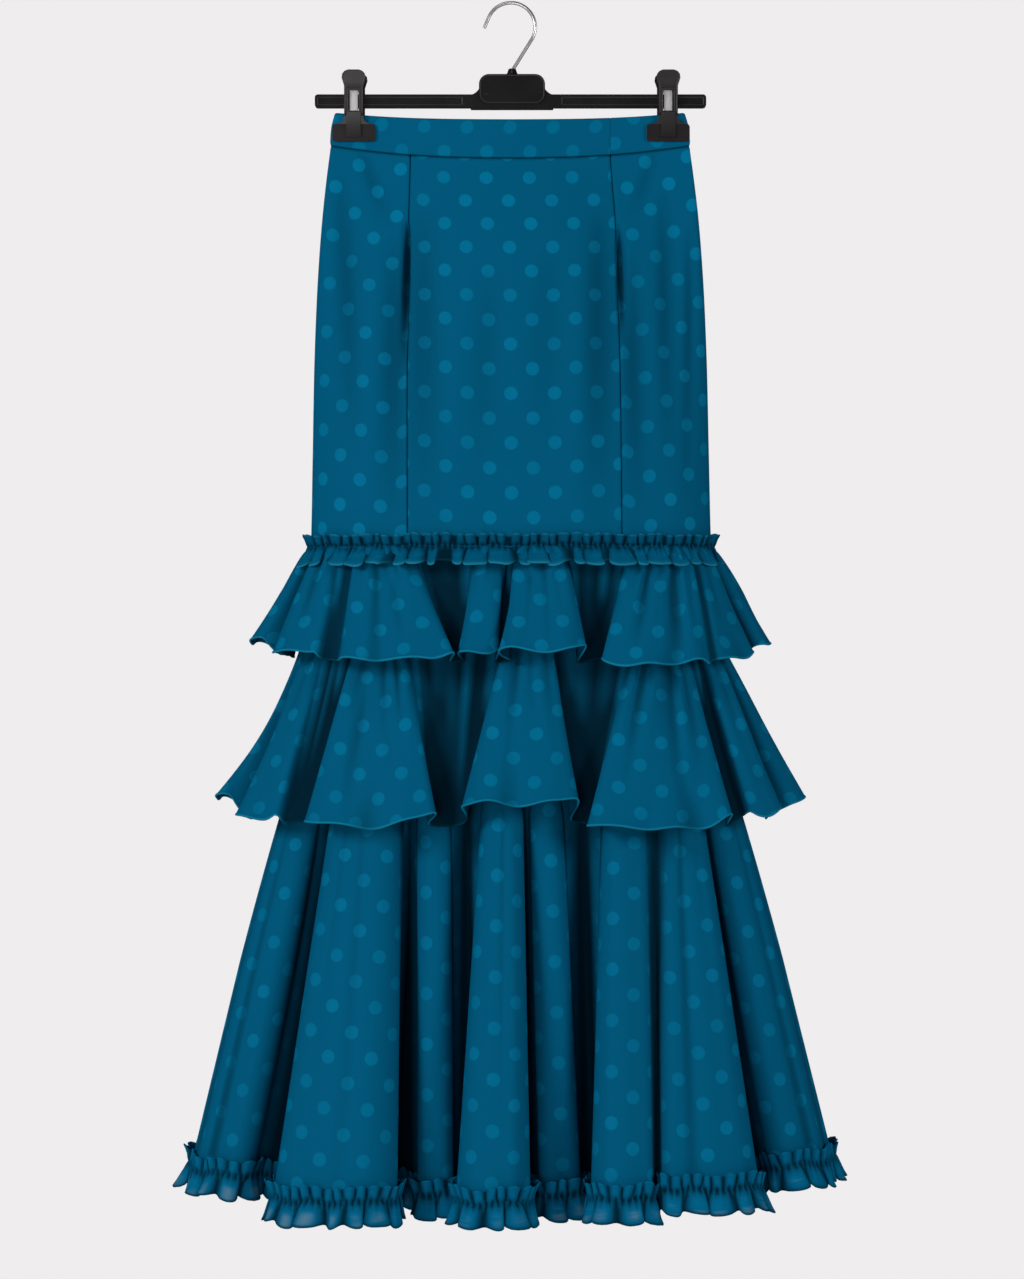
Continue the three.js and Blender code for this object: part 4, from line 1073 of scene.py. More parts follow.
def hollows(stand):
    """How deep each point lies among its neighbours to both sides, as a share. stand is how far
    out the points of a closed ring of columns are, row by row."""
    ring = stand[:, :-1]
    shares = 0
    for reach, full, weight in SHADE_REACHES:
        steps = range(-reach, reach + 1)
        near = sum(np.roll(ring, step, axis=1) for step in steps) / len(steps)
        shares = shares + weight * np.clip((near - ring) / full, 0, 1)
    return np.clip(np.concatenate([shares, shares[:, :1]], axis=1), 0, 1) * SHADE_SHARE


def flounce_shades(flounce, cone, grid):
    """The shares of painted shade and of dots over a flounce."""
    # Painted shade: the deeper among its neighbours, the darker, and darker between folds near the seam.
    hollow = hollows(((grid - cone["seam_line"]) * cone["level"]).sum(axis=2))
    between = np.clip(cone["behind"] / BEHIND_FULL, 0, 1) ** 1.5
    shade = flounce["shade"] * between[None] * (1 - 0.5 * cone["share"])[:, None]
    hollow = np.clip(hollow + shade, 0, MOST_SHADE)
    from_valley = np.abs((cone["t"] + 1 + PLACES / 2) % PLACES - PLACES / 2)
    # The dots fade where the shade is painted.
    dotted = FLOUNCE_DOTTED * np.clip((from_valley - 0.25) / 0.6, 0, 1) * (1 - hollow)
    return hollow, dotted


def uv_by_fold(grid, t):
    """A face UV map in metres that starts afresh at the crest of each fold."""
    across = run_lengths(grid, 1)
    down = -run_lengths(grid, 0)
    fold_of_face = np.floor(((t[:-1] + t[1:]) / 2 + 1) / PLACES).astype(int)
    crest_column = np.clip(np.searchsorted(t, fold_of_face * PLACES + CREST), 0, len(t) - 1)
    face_uv = corners(np.stack([across, down], axis=2))
    crest = across[:, crest_column]
    face_uv[..., 0] -= np.stack([crest[:-1], crest[1:], crest[1:], crest[:-1]], axis=2)
    face_uv += fold_of_face[None, :, None, None] * np.array(FOLD_DOTS)
    return face_uv * MM


print("hollows are measured over", [reach for reach, _, _ in SHADE_REACHES], "columns")

# %% [markdown]
# ## Cutting out the flounces
# Each flounce is split at the side seams into a front and a back. Its flat size is the length
# of its hem and its height, and its flat area that of the ring part it is cut from, which
# lies between its short seam and its long hem.

# %% Build the flounces
FLOUNCE_CLOTH = 0.9
HEM_PROUD = np.array([0, 0.25, 0.6, 0.6, 0.15])
HEM_ROLLED = np.array([0, 0.1, 0.8, 1, 1])
flounce_parts = {}


def right_side(flounce):
    """The place t of the fold on the right side seam, where the front ends."""
    return next(k for k, row in enumerate(flounce["folds"]) if row[1] == 90) * PLACES + CREST


for flounce in FLOUNCES:
    seam_angle, hem, room_at = flounce_lines(flounce)
    cone = flounce_cone(flounce, seam_angle, hem)
    grid = add_small_folds(flounce, cone)
    flounce_parts[flounce["name"]] = {"hem": hem, "seam": seam_angle, "room": room_at}
    face_uv = uv_by_fold(grid, cone["t"])
    plain = np.zeros(len(cone["share"]) - len(HEM_STEPS))
    proud = np.concatenate([plain, HEM_PROUD])
    rolled = np.concatenate([plain, HEM_ROLLED])[:, None]
    normals = outward(grid)
    hollow, dotted = flounce_shades(flounce, cone, grid)
    split = int(np.searchsorted(cone["t"], right_side(flounce)))
    for half, first, last in (("front", 0, split), ("back", split, grid.shape[1] - 1)):
        span = slice(first, last + 1)
        piece = shell(f"{flounce['title']}_{half}", grid[:, span], FLOUNCE_CLOTH,
                      face_uv[:, first:last], proud, normals[:, span],
                      {"rolled": rolled, "dotted": dotted[:, span], "hollow": hollow[:, span]})
        dress(piece, crepe, [f"{flounce['name']}_{half}"])

# %% [markdown]
# ## Frills
# A frill is a narrow strip gathered along one line. Above the line its short heading stands
# up in small teeth, and below it the cloth opens into wider scallops. A wave along the strip
# grows from the gathers to the edge. It also swings sideways, leans one way or the other for a
# while, and its teeth are of uneven sizes, so that the folds turn over as real ones do.

# %% Frill maker
FRILL_THICK = 0.6
FRILL_LEAN = 0.9
FRILL_DRAWN = 0.22
FRILL_SIZES = (0.45, 1.35)
FRILL_SWINGS = ((7, 0.9), (17, 0.7), (31, 0.6), (53, 0.45))
CREST_FLAT = 0.15
FINE_SPREAD = 0.55
FINE_LEFT = 0.12
THIN_FROM = 0.4
THIN_TO = 0.93
# Rows go from -1 at the heading's edge, over 0 at the gathers, to 1 at the skirt's edge.
FRILL_ROWS = np.array([-1, -0.95, -0.86, -0.7, -0.5, -0.3, -0.15, 0,
                       0.1, 0.22, 0.38, 0.56, 0.74, 0.88, 0.95, 1])
FRILL_PROUD = np.array([0.1, 0.45, 0.3, 0, 0, 0, 0, 0, 0, 0, 0, 0, 0, 0.3, 0.45, 0.1])
FRILL_ROLLED = np.array([1, 1, 0.3, 0, 0, 0, 0, 0, 0, 0, 0, 0, 0, 0.3, 1, 1])


def uneven_phase(share, waves, seed):
    """The phase of a wave round a ring, in radians, whose waves come closer and wider."""
    chance = np.random.default_rng(seed)
    phase = 2 * np.pi * waves * share
    for turns, swing in FRILL_SWINGS:
        phase = phase + swing * np.sin(2 * np.pi * (turns * share + chance.uniform()))
    return phase


def uneven_size(phase, waves, seed):
    """A size for each wave of a ring, blended from one wave to the next."""
    sizes = np.random.default_rng(seed).uniform(*FRILL_SIZES, waves)
    return np.interp(phase / (2 * np.pi), np.arange(waves), sizes, period=waves)


def frill_grid(frill, base, out, along, share, room):
    """The grid of a frill, the painted shade in its valleys and at its gathers, and the painted
    light through its thin places. base holds the points of each row before its waves."""
    heading = uneven_phase(share, frill["teeth"], frill["seed"])
    scallop = uneven_phase(share, frill["scallops"], frill["seed"] + 1)
    slow = 0.75 + 0.25 * np.sin(uneven_phase(share, frill["scallops"] // 5, frill["seed"] + 2))
    pinch = np.cos(uneven_phase(share, round(frill["teeth"] * 1.9), frill["seed"] + 3))
    grid = base.copy()
    hollow, thin = np.zeros(grid.shape[:2]), np.zeros(grid.shape[:2])
    tooth = uneven_size(heading, frill["teeth"], frill["seed"] + 4)
    lobe = uneven_size(scallop, frill["scallops"], frill["seed"] + 5)
    lean = np.sin(uneven_phase(share, round(frill["scallops"] * 0.7), frill["seed"] + 6))
    wobble = frill["wobble"] * np.sin(uneven_phase(share, frill["scallops"] // 2, frill["seed"] + 7))
    for r, h in enumerate(FRILL_ROWS):
        phase = heading if h < 0 else scallop
        swing, sway, lift = (frill["heading"] if h < 0 else frill["skirt"])
        size = abs(h) ** 0.7 * (tooth if h < 0 else lobe)
        crest = np.cos(phase) + CREST_FLAT * (1 - np.cos(2 * phase))
        grid[r] += out[r] * (swing * size * slow * room * crest)[:, None]
        fine = frill["pleat"] * np.exp(-((h / FINE_SPREAD) ** 2)) + FINE_LEFT * frill["pleat"]
        grid[r] += out[r] * (fine * pinch)[:, None]
        aside = sway * size * slow * np.sin(phase) + sway * FRILL_LEAN * abs(h) * lean
        grid[r] += along[r] * (aside * room)[:, None]
        grid[r][:, 2] += lift * size * slow * crest * (1 if h < 0 else -1) + wobble
        # Painted shade in the valleys between waves, along the gathers where the cloth is drawn together, and
        # on the heading.
        valley = (1 - np.cos(phase)) / 2
        drawn = np.exp(-((h / FRILL_DRAWN) ** 2)) * (0.75 - 0.35 * pinch)
        between = valley ** (1.5 if h < 0 else 2) * min(1, 2.5 * abs(h))
        shaded = frill["shade"] if h < 0 else 0
        hollow[r] = np.clip(0.95 * between + drawn + shaded, 0, 0.9)
        # Painted light through the single skirt of the frill, away from its valleys.
        thin[r] = frill["thin"] * np.clip(1 - valley * 3, 0, 1) * (THIN_FROM < h < THIN_TO)
    rolled = np.where(FRILL_ROWS < 0, frill["heading_edge"], 1) * FRILL_ROLLED
    return grid, {"rolled": rolled[:, None], "hollow": hollow, "thin": thin}


print("rows of a frill:", len(FRILL_ROWS))

# %% [markdown]
# ## Rings for the rows
# Each row of a frill starts as a ring round the skirt. A function that is passed in says where
# the ring for a row lies and how far out of it the frill stands, so both frills share the rest.

# %% Rings and halves of a frill
def level_out(ring):
    """The level direction straight out of a closed ring whose last point is its first."""
    along = np.gradient(ring, axis=0)
    along[0] = along[-1] = ring[1] - ring[-2]
    out = np.stack([along[:, 1], -along[:, 0], np.zeros(len(ring))], axis=1)
    out /= np.linalg.norm(out, axis=1, keepdims=True)
    return out, along / np.linalg.norm(along, axis=1, keepdims=True)


def stack_rings(ring_at):
    """The rings of a frill's rows, with the directions out of them and along them."""
    rings, outs, alongs = [], [], []
    for h in FRILL_ROWS:
        ring, stand = ring_at(h)
        out, along = level_out(ring)
        rings.append(ring + out * stand[:, None])
        outs.append(out)
        alongs.append(along)
    return np.array(rings), outs, alongs


def add_frill(frill, grid, marks, material, split):
    """Both halves of a frill as pieces of cloth."""
    normals = outward(grid)
    uv = grid_uv(grid, 0)
    for half, first, last in (("front", 0, split), ("back", split, grid.shape[1] - 1)):
        span = slice(first, last + 1)
        here = {name: values if values.shape[1] == 1 else values[:, span]
                for name, values in marks.items()}
        piece = shell(f"{frill['title']}_{half}", grid[:, span], FRILL_THICK,
                      uv[:, first:last], FRILL_PROUD, normals[:, span], here)
        dress(piece, material, [f"{frill['name']}_{half}"])


print("rows above the gathers:", int((FRILL_ROWS < 0).sum()))

# %% [markdown]
# ## Hip frill
# This frill hides the seam of the first flounce. Its gathers go round the hip on a level line,
# its heading stands up against the body, and its skirt leans out over the flounce, less so at
# the sides, where the flounce falls more steeply. It is the finer of the two.

# %% Hip frill
# heading and skirt say how far a wave swings out, sways aside and lifts, in millimetres. pleat
# is the height of the fine pleats at the gathers, and wobble how far they wander up and down.
# thin is the share of painted light through the cloth, heading_edge that of the rolled edge's
# colour on the heading, and shade that of painted shade on the heading.
HIP_FRILL = {
    "name": "hip_frill", "title": "Hip_frill", "on": "flounce_1_", "wide": 0.03, "seed": 3,
    "teeth": 88, "scallops": 47, "heading": (3.2, 1.7, 1.9), "skirt": (4.6, 3.6, 2.8),
    "pleat": 0.9, "wobble": 0.9, "thin": 0.0, "heading_edge": 0.8, "shade": 0.2,
}
HIP_HEADING = 10.5
HIP_SKIRT = 17.0
HIP_STEP = 1.25
HIP_NEAR = 2.6
HIP_HEADING_OUT = 4.4
HIP_SKIRT_OUT = 22.0
HIP_SKIRT_LESS = 14.0


def even_turns(z, step):
    """Angles round the hip, about step millimetres apart, from the left side right round."""
    fine = np.linspace(-90, 270, 1441)
    length = run_lengths(hip_point(fine, z)[None], 1)[0]
    count = int(round(length[-1] / step))
    return np.interp(np.linspace(0, length[-1], count + 1), length, fine)


def hip_ring(h):
    """The ring of one row of the hip frill, which already stands as far out as it should."""
    drop = (HIP_HEADING if h < 0 else HIP_SKIRT) * h
    at_side = np.sin(np.radians(turns)) ** 4
    leaning = -h * HIP_HEADING_OUT if h < 0 else h * (HIP_SKIRT_OUT - HIP_SKIRT_LESS * at_side)
    stand = np.broadcast_to(HIP_NEAR + leaning, turns.shape)
    return beside_hip(turns, HIP_Z - drop, stand), np.zeros(len(turns))


turns = even_turns(HIP_Z, HIP_STEP)
rings, outs, alongs = stack_rings(hip_ring)
share = np.linspace(0, 1, len(turns))
grid, marks = frill_grid(HIP_FRILL, rings, outs, alongs, share, np.ones(len(turns)))
add_frill(HIP_FRILL, grid, marks, hip_crepe, int(np.searchsorted(turns, 90)))

# %% [markdown]
# ## Hem frill
# The last flounce ends in a wider frill, which follows its hem in and out of every fold. Its
# rings are the hem's own curve, slid up or down the cone, so it can't leave the flounce. In a
# tight valley there is little room for it, so there it stays close and its waves are small.

# %% Hem frill
HEM_FRILL = {
    "name": "hem_frill", "title": "Hem_frill", "on": "flounce_3_", "wide": 0.042, "seed": 8,
    "teeth": 310, "scallops": 158, "heading": (4.4, 2.0, 2.8), "skirt": (5.4, 4.4, 3.0),
    "pleat": 1.6, "wobble": 1.6, "thin": 0.6, "heading_edge": 0.15, "shade": 0.0,
}
HEM_HEADING = 14.0
HEM_SKIRT = 22.0
HEM_STEP = 1.9
GATHER_DROP = -1.0
LEAST_WAVE = 0.35
LOOSE_NEAR = 2.4
LOOSE_OUT = 5.0
TIGHT_NEAR = 2.2
TIGHT_HEADING_OUT = 1.0
TIGHT_SKIRT_IN = 0.2

last_flounce = FLOUNCES[2]
parts = flounce_parts["flounce_3"]
t = even_places(parts["hem"], HEM_STEP, CREST)
angles = ring_values(parts["seam"], t, 360.0)
seam_line = beside_hip(angles, last_flounce["seam_z"], np.full(len(t), CLOTH + SEAM_EASE))
hem_line = round_curve(parts["hem"], t)
deep = np.linalg.norm(hem_line - seam_line, axis=1)[:, None]
room_here = ring_values(parts["room"], t)


def hem_ring(h):
    """The ring of one row of the hem frill, and how far out of it the frill stands."""
    drop = GATHER_DROP + (HEM_HEADING if h < 0 else HEM_SKIRT) * h
    loose = LOOSE_NEAR + LOOSE_OUT * abs(h)
    tight = TIGHT_NEAR + (-TIGHT_HEADING_OUT if h < 0 else -TIGHT_SKIRT_IN) * h
    return seam_line + (hem_line - seam_line) * (1 + drop / deep), tight + (loose - tight) * room_here


rings, outs, alongs = stack_rings(hem_ring)
share = np.linspace(0, 1, len(t))
waves = LEAST_WAVE + (1 - LEAST_WAVE) * room_here
grid, marks = frill_grid(HEM_FRILL, rings, outs, alongs, share, waves)
add_frill(HEM_FRILL, grid, marks, hem_crepe, int(np.searchsorted(t, right_side(last_flounce))))

# %% [markdown]
# ## Hanger: plastic and steel
# The hanger is moulded in black polystyrene. The mould's fine grain leaves it satin. The walls
# round its sunk panels are a lighter grey, which is a painted highlight along them. Its hook is
# bright plated wire with hardly a line in it, and the strip that shows in each clip's window is
# duller, because it was rolled and brushed. Noise on Object coordinates gives both their grain.

# %% Plastic and steel
# Noise cells in a metre: the mould's grain is about 1 mm, its wear about 30 mm and the lines
# of drawn or rolled steel about 8 mm.
GRAIN_PER_METRE = 900.0
WEAR_PER_METRE = 35.0
DRAWN_PER_METRE = 120.0
STEEL_DARK = "#D2D0D0"
STEEL_LIGHT = "#E2E0E0"


def plastic_material(name, dark_hex, light_hex):
    """Moulded polystyrene: near black, satin, with the mould's fine grain."""
    material, tree, output = new_material(name)
    place = add_node(tree, "ShaderNodeTexCoord").outputs["Object"]
    grain = add_node(tree, "ShaderNodeTexNoise", inputs={
        "Vector": place, "Scale": GRAIN_PER_METRE, "Detail": 2.0})
    wear = add_node(tree, "ShaderNodeTexNoise", inputs={
        "Vector": place, "Scale": WEAR_PER_METRE, "Detail": 3.0})
    colour = add_node(tree, "ShaderNodeMix", {"data_type": "RGBA"}, {"Factor": wear.outputs["Fac"]})
    colour.inputs["A"].default_value = linear(dark_hex)
    colour.inputs["B"].default_value = linear(light_hex)
    rough = add_node(tree, "ShaderNodeMapRange", inputs={
        "Value": wear.outputs["Fac"], "To Min": 0.3, "To Max": 0.42})
    bump = add_node(tree, "ShaderNodeBump", inputs={
        "Strength": 0.12, "Distance": 0.0002, "Height": grain.outputs["Fac"]})
    body = add_node(tree, "ShaderNodeBsdfPrincipled", inputs={
        "Base Color": colour.outputs["Result"], "Roughness": rough.outputs["Result"],
        "Normal": bump.outputs["Normal"], "Specular IOR Level": 0.35})
    tree.links.new(body.outputs[0], output.inputs["Surface"])
    return material


def steel_material(name, rough_low, rough_high, metallic):
    """Bright plated steel with the faint unevenness of drawn or rolled metal."""
    material, tree, output = new_material(name)
    place = add_node(tree, "ShaderNodeTexCoord").outputs["Object"]
    drawn = add_node(tree, "ShaderNodeTexNoise", inputs={
        "Vector": place, "Scale": DRAWN_PER_METRE, "Detail": 1.0})
    colour = add_node(tree, "ShaderNodeMix", {"data_type": "RGBA"}, {"Factor": drawn.outputs["Fac"]})
    colour.inputs["A"].default_value = linear(STEEL_DARK)
    colour.inputs["B"].default_value = linear(STEEL_LIGHT)
    rough = add_node(tree, "ShaderNodeMapRange", inputs={
        "Value": drawn.outputs["Fac"], "To Min": rough_low, "To Max": rough_high})
    metal = add_node(tree, "ShaderNodeBsdfPrincipled", inputs={
        "Base Color": colour.outputs["Result"], "Roughness": rough.outputs["Result"], "Metallic": metallic})
    tree.links.new(metal.outputs[0], output.inputs["Surface"])
    return material


plastic = plastic_material("Moulded_black_polystyrene", "#090808", "#131112")
clip_plastic = plastic_material("Moulded_clip_polystyrene", "#151213", "#252123")
highlight_plastic = plastic_material("Painted_highlight_polystyrene", "#3A3638", "#4A4648")
steel = steel_material("Bright_plated_wire", 0.3, 0.36, 0.93)
strip_steel = steel_material("Brushed_spring_strip", 0.46, 0.54, 0.85)
print("hanger finishes:", plastic.name, clip_plastic.name, highlight_plastic.name, steel.name, strip_steel.name)

# %% [markdown]
# ## Bench tools
# Every piece of the hanger starts as a primitive of its own size and is extruded, inset, spun
# and bevelled into its form, as by hand. These helpers do what a hand does between two
# tools: clear the bench, pick faces or edges by where they lie, and finish the edges.

# %% Bench tools
NEAR = 0.1
BEVEL_ABOVE = 35
SMOOTH_BELOW = 50


def clear_bench():
    """Leaves the piece in hand, with nothing selected."""
    if bpy.context.object:
        bpy.ops.object.mode_set(mode="OBJECT")
    bpy.ops.object.select_all(action="DESELECT")


def new_cube(name, low, high, materials=()):
    """A cube primitive made to fill the box between two corners, given in millimetres."""
    clear_bench()
    bpy.ops.mesh.primitive_cube_add(size=1, location=[(a + b) / 2 * MM for a, b in zip(low, high)])
    piece = bpy.context.object
    piece.scale = [(b - a) * MM for a, b in zip(low, high)]
    bpy.ops.object.transform_apply(location=True, rotation=True, scale=True)
    piece.name = piece.data.name = name
    for material in materials:
        piece.data.materials.append(material)
    return piece


def pick(piece, kind, test):
    """Selects the points, edges or faces whose middle passes a test, ready to be edited."""
    bpy.ops.object.mode_set(mode="OBJECT")
    bpy.context.tool_settings.mesh_select_mode = [kind == name for name in ("VERT", "EDGE", "FACE")]
    mesh = piece.data
    for parts in (mesh.vertices, mesh.edges, mesh.polygons):
        parts.foreach_set("select", [False] * len(parts))
    if kind == "VERT":
        for point in mesh.vertices:
            point.select = bool(test(*(point.co / MM)))
    else:
        for part in mesh.edges if kind == "EDGE" else mesh.polygons:
            ends = [mesh.vertices[index].co for index in part.vertices]
            middle = sum(ends[1:], ends[0].copy()) / len(ends) / MM
            part.select = bool(test(*middle))
    bpy.ops.object.mode_set(mode="EDIT")


def extrude(x=0.0, y=0.0, z=0.0):
    """Extrudes what is selected and moves it by millimetres."""
    bpy.ops.mesh.extrude_region_move(TRANSFORM_OT_translate={"value": (x * MM, y * MM, z * MM)})


def sink_panel(piece, rim, wall, deep):
    """Sinks the selected faces inside a rim. The wall round them gets the lighter plastic of the
    piece's second slot, a painted highlight.
    """
    bpy.ops.mesh.inset(thickness=rim * MM)
    # Slot 1 is the lighter plastic: a painted highlight on the panel's wall.
    piece.active_material_index = 1
    bpy.ops.object.material_slot_assign()
    bpy.ops.mesh.inset(thickness=wall * MM, depth=-deep * MM)
    piece.active_material_index = 0
    bpy.ops.object.material_slot_assign()


def cut(piece, point, normal):
    """Cuts all of a piece's faces along a plane."""
    pick(piece, "FACE", lambda x, y, z: True)
    bpy.ops.mesh.bisect(plane_co=[p * MM for p in point], plane_no=normal)


def round_edges(piece, width, segments=2):
    """Takes the sharpness off a finished form, and shades it smooth up to its real edges."""
    pick(piece, "FACE", lambda x, y, z: True)
    bpy.ops.mesh.remove_doubles(threshold=0.00001)
    bpy.ops.mesh.normals_make_consistent(inside=False)
    clear_bench()
    piece.select_set(True)
    bpy.context.view_layer.objects.active = piece
    bevel = piece.modifiers.new("Edges", "BEVEL")
    bevel.width = width * MM
    bevel.segments = segments
    bevel.limit_method = "ANGLE"
    bevel.angle_limit = math.radians(BEVEL_ABOVE)
    bpy.ops.object.modifier_apply(modifier=bevel.name)
    bpy.ops.object.shade_smooth_by_angle(angle=math.radians(SMOOTH_BELOW))
    even = piece.modifiers.new("Flat_faces", "WEIGHTED_NORMAL")
    even.keep_sharp = True
    bpy.ops.object.modifier_apply(modifier=even.name)


def join(piece, *others):
    """Makes several forms into one moulding."""
    clear_bench()
    for other in (piece, *others):
        other.select_set(True)
    bpy.context.view_layer.objects.active = piece
    bpy.ops.object.join()


print("edges sharper than", BEVEL_ABOVE, "degrees are bevelled")

# %% [markdown]
# ## Bar, web and plate
# The bar is a thin beam. A shallow channel runs along both faces of each arm and leaves a lip
# round it, which keeps the moulding stiff and light. The plate in its middle has rounded
# corners and a sunk face inside a narrow rim, and a web with two hollow curves joins the two.

# %% Bar, web and plate
BAR_LOW = (-196, -4, -103.5)
BAR_HIGH = (195, 4, -90.5)
BAR_CORNER = 3
BAR_CHANNEL = (2.4, 0.9, 1.6)
WEB_LOW = (-46, -4.5, -105)
WEB_HIGH = (48, 4.5, -91.5)
WEB_FOOT_SHARE = 0.87
WEB_RISE = 14.5
WEB_CURVE = 13.5
WEB_MIDDLE = 1
PLATE_LOW = (-32, -6, -100.1)
PLATE_HIGH = (34, 6, -70.5)
PLATE_CORNER = 10
PLATE_FACE = (0.9, 0.7, 0.7)
NECK_LEFT = PLATE_LOW[0] + 2
NECK_RIGHT = PLATE_HIGH[0] - 2

bar = new_cube("Hanger_bar", BAR_LOW, BAR_HIGH, (plastic, highlight_plastic))
pick(bar, "EDGE", lambda x, y, z: abs(y) < 1 and (x < BAR_LOW[0] + 1 or x > BAR_HIGH[0] - 1))
bpy.ops.mesh.bevel(offset=BAR_CORNER * MM, segments=4, affect="EDGES")
cut(bar, (WEB_LOW[0], 0, 0), (1, 0, 0))
cut(bar, (WEB_HIGH[0], 0, 0), (1, 0, 0))
pick(bar, "FACE", lambda x, y, z: abs(y) > BAR_HIGH[1] - NEAR and not WEB_LOW[0] < x < WEB_HIGH[0])
sink_panel(bar, *BAR_CHANNEL)

web = new_cube("Hanger_web", WEB_LOW, WEB_HIGH, (plastic, highlight_plastic))
cut(web, (NECK_LEFT, 0, 0), (1, 0, 0))
cut(web, (NECK_RIGHT, 0, 0), (1, 0, 0))
pick(web, "FACE", lambda x, y, z: z > WEB_HIGH[2] - NEAR and PLATE_LOW[0] < x < PLATE_HIGH[0])
extrude(z=WEB_RISE)
pick(web, "EDGE", lambda x, y, z: abs(z - WEB_HIGH[2]) < NEAR and abs(y) < 1
     and min(abs(x - NECK_LEFT), abs(x - NECK_RIGHT)) < NEAR)
bpy.ops.mesh.bevel(offset=WEB_CURVE * MM, segments=7, affect="EDGES")
pick(web, "VERT", lambda x, y, z: z < WEB_LOW[2] + NEAR)
bpy.ops.transform.resize(value=(WEB_FOOT_SHARE, 1, 1),
                         center_override=(WEB_MIDDLE * MM, 0, WEB_LOW[2] * MM))

plate = new_cube("Hanger_plate", PLATE_LOW, PLATE_HIGH, (plastic, highlight_plastic))
pick(plate, "EDGE", lambda x, y, z: abs(y) < 1)
bpy.ops.mesh.bevel(offset=PLATE_CORNER * MM, segments=8, affect="EDGES")
pick(plate, "FACE", lambda x, y, z: abs(y) > PLATE_HIGH[1] - NEAR)
sink_panel(plate, *PLATE_FACE)
print("bar", BAR_HIGH[0] - BAR_LOW[0], "mm, plate", PLATE_HIGH[0] - PLATE_LOW[0], "mm wide")

# %% [markdown]
# Two small round marks stand on the plate's face, left by the pins that push the moulding out.
# Each is a low cylinder with a sunk top. Then all the forms are joined into one moulding and
# their edges softened, since no mould has a perfectly sharp corner.

# %% Pin marks, and the finished bar
MARKS_AT = [(-25, -90.5), (29, -88.5)]
MARK_Y = -5.5
MARK_RADIUS = 1.3
MARK_HIGH = 0.8
MARK_RIM = 0.35
MARK_SUNK = 0.3

marks = []
for x, z in MARKS_AT:
    clear_bench()
    bpy.ops.mesh.primitive_cylinder_add(
        vertices=24, radius=MARK_RADIUS * MM, depth=MARK_HIGH * MM,
        location=(x * MM, MARK_Y * MM, z * MM), rotation=(math.pi / 2, 0, 0))
    mark = bpy.context.object
    mark.data.materials.append(plastic)
    bpy.ops.object.transform_apply(location=True, rotation=True, scale=True)
    pick(mark, "FACE", lambda x, y, z: y < MARK_Y - MARK_HIGH / 2 + NEAR)
    bpy.ops.mesh.inset(thickness=MARK_RIM * MM, depth=-MARK_SUNK * MM)
    marks.append(mark)
join(bar, web, plate, *marks)
round_edges(bar, 0.35)
dress(bar, plastic, ["hanger_bar"])
print("bar points", len(bar.data.vertices))

# %% [markdown]
# ## Hook
# The hook is one plated wire. Its round end is spun round the rail's place, extruded down a
# straight slope, and spun back through a short bend into the collar. A bevelled curve would do
# as well, but spinning keeps the section round and even through both bends.

# %% Hook
WIRE = 3.5
BEND = 24.2
BEND_Z = WIRE / 2 - BEND
ARC_FROM = 156
ARC_TURN = 188
TIP_MOVE = (-4.7, 0, -10.9)
SLOPE_MOVE = (-18.1, 0, -29.0)
SHANK_BEND = 8.0
SHANK_X = 1.2
SHANK_FOOT = -69.9
WIRE_SIDES = 20

start = (BEND * math.cos(math.radians(ARC_FROM)), 0, BEND_Z + BEND * math.sin(math.radians(ARC_FROM)))
clear_bench()
bpy.ops.mesh.primitive_circle_add(
    vertices=WIRE_SIDES, radius=WIRE / 2 * MM, fill_type="NGON",
    location=[p * MM for p in start], rotation=(0, math.radians(180 - ARC_FROM), 0))
hook = bpy.context.object
hook.name = hook.data.name = "Hanger_hook"
bpy.ops.object.transform_apply(location=True, rotation=True, scale=True)
pick(hook, "FACE", lambda x, y, z: True)
bpy.ops.mesh.spin(steps=44, angle=-math.radians(ARC_TURN), center=(0, 0, BEND_Z * MM), axis=(0, 1, 0))
extrude(*SLOPE_MOVE)
down = math.radians(ARC_TURN - ARC_FROM)
bend_start = [BEND * math.cos(down) + SLOPE_MOVE[0], BEND_Z - BEND * math.sin(down) + SLOPE_MOVE[2]]
turn_x = bend_start[0] + SHANK_BEND * math.cos(down)
turn_z = bend_start[1] - SHANK_BEND * math.sin(down)
bpy.ops.mesh.spin(steps=6, angle=down, center=(turn_x * MM, 0, turn_z * MM), axis=(0, 1, 0))
extrude(x=SHANK_X - (turn_x - SHANK_BEND), z=SHANK_FOOT - turn_z)
pick(hook, "FACE", lambda x, y, z: abs(x - start[0]) + abs(z - start[2]) < 0.3)
extrude(*TIP_MOVE)
round_edges(hook, 0.5)
dress(hook, steel, ["hanger_hook"])
print("hook points", len(hook.data.vertices))

# %% [markdown]
# ## Collar
# The wire goes into the plate through a small collar, which spreads its load. It starts as a
# cone. A socket for the wire is sunk in its top, and a plane cuts in a line on which its side
# is drawn in a little, so that the foot flares.

# %% Collar
COLLAR_FOOT = -70.2
COLLAR_TOP = -64.5
COLLAR_FOOT_RADIUS = 6
COLLAR_TOP_RADIUS = 3.6
SOCKET_RIM = 1.5
SOCKET_DEEP = 4
FLARE_Z = -68.4
FLARE_SHARE = 0.94

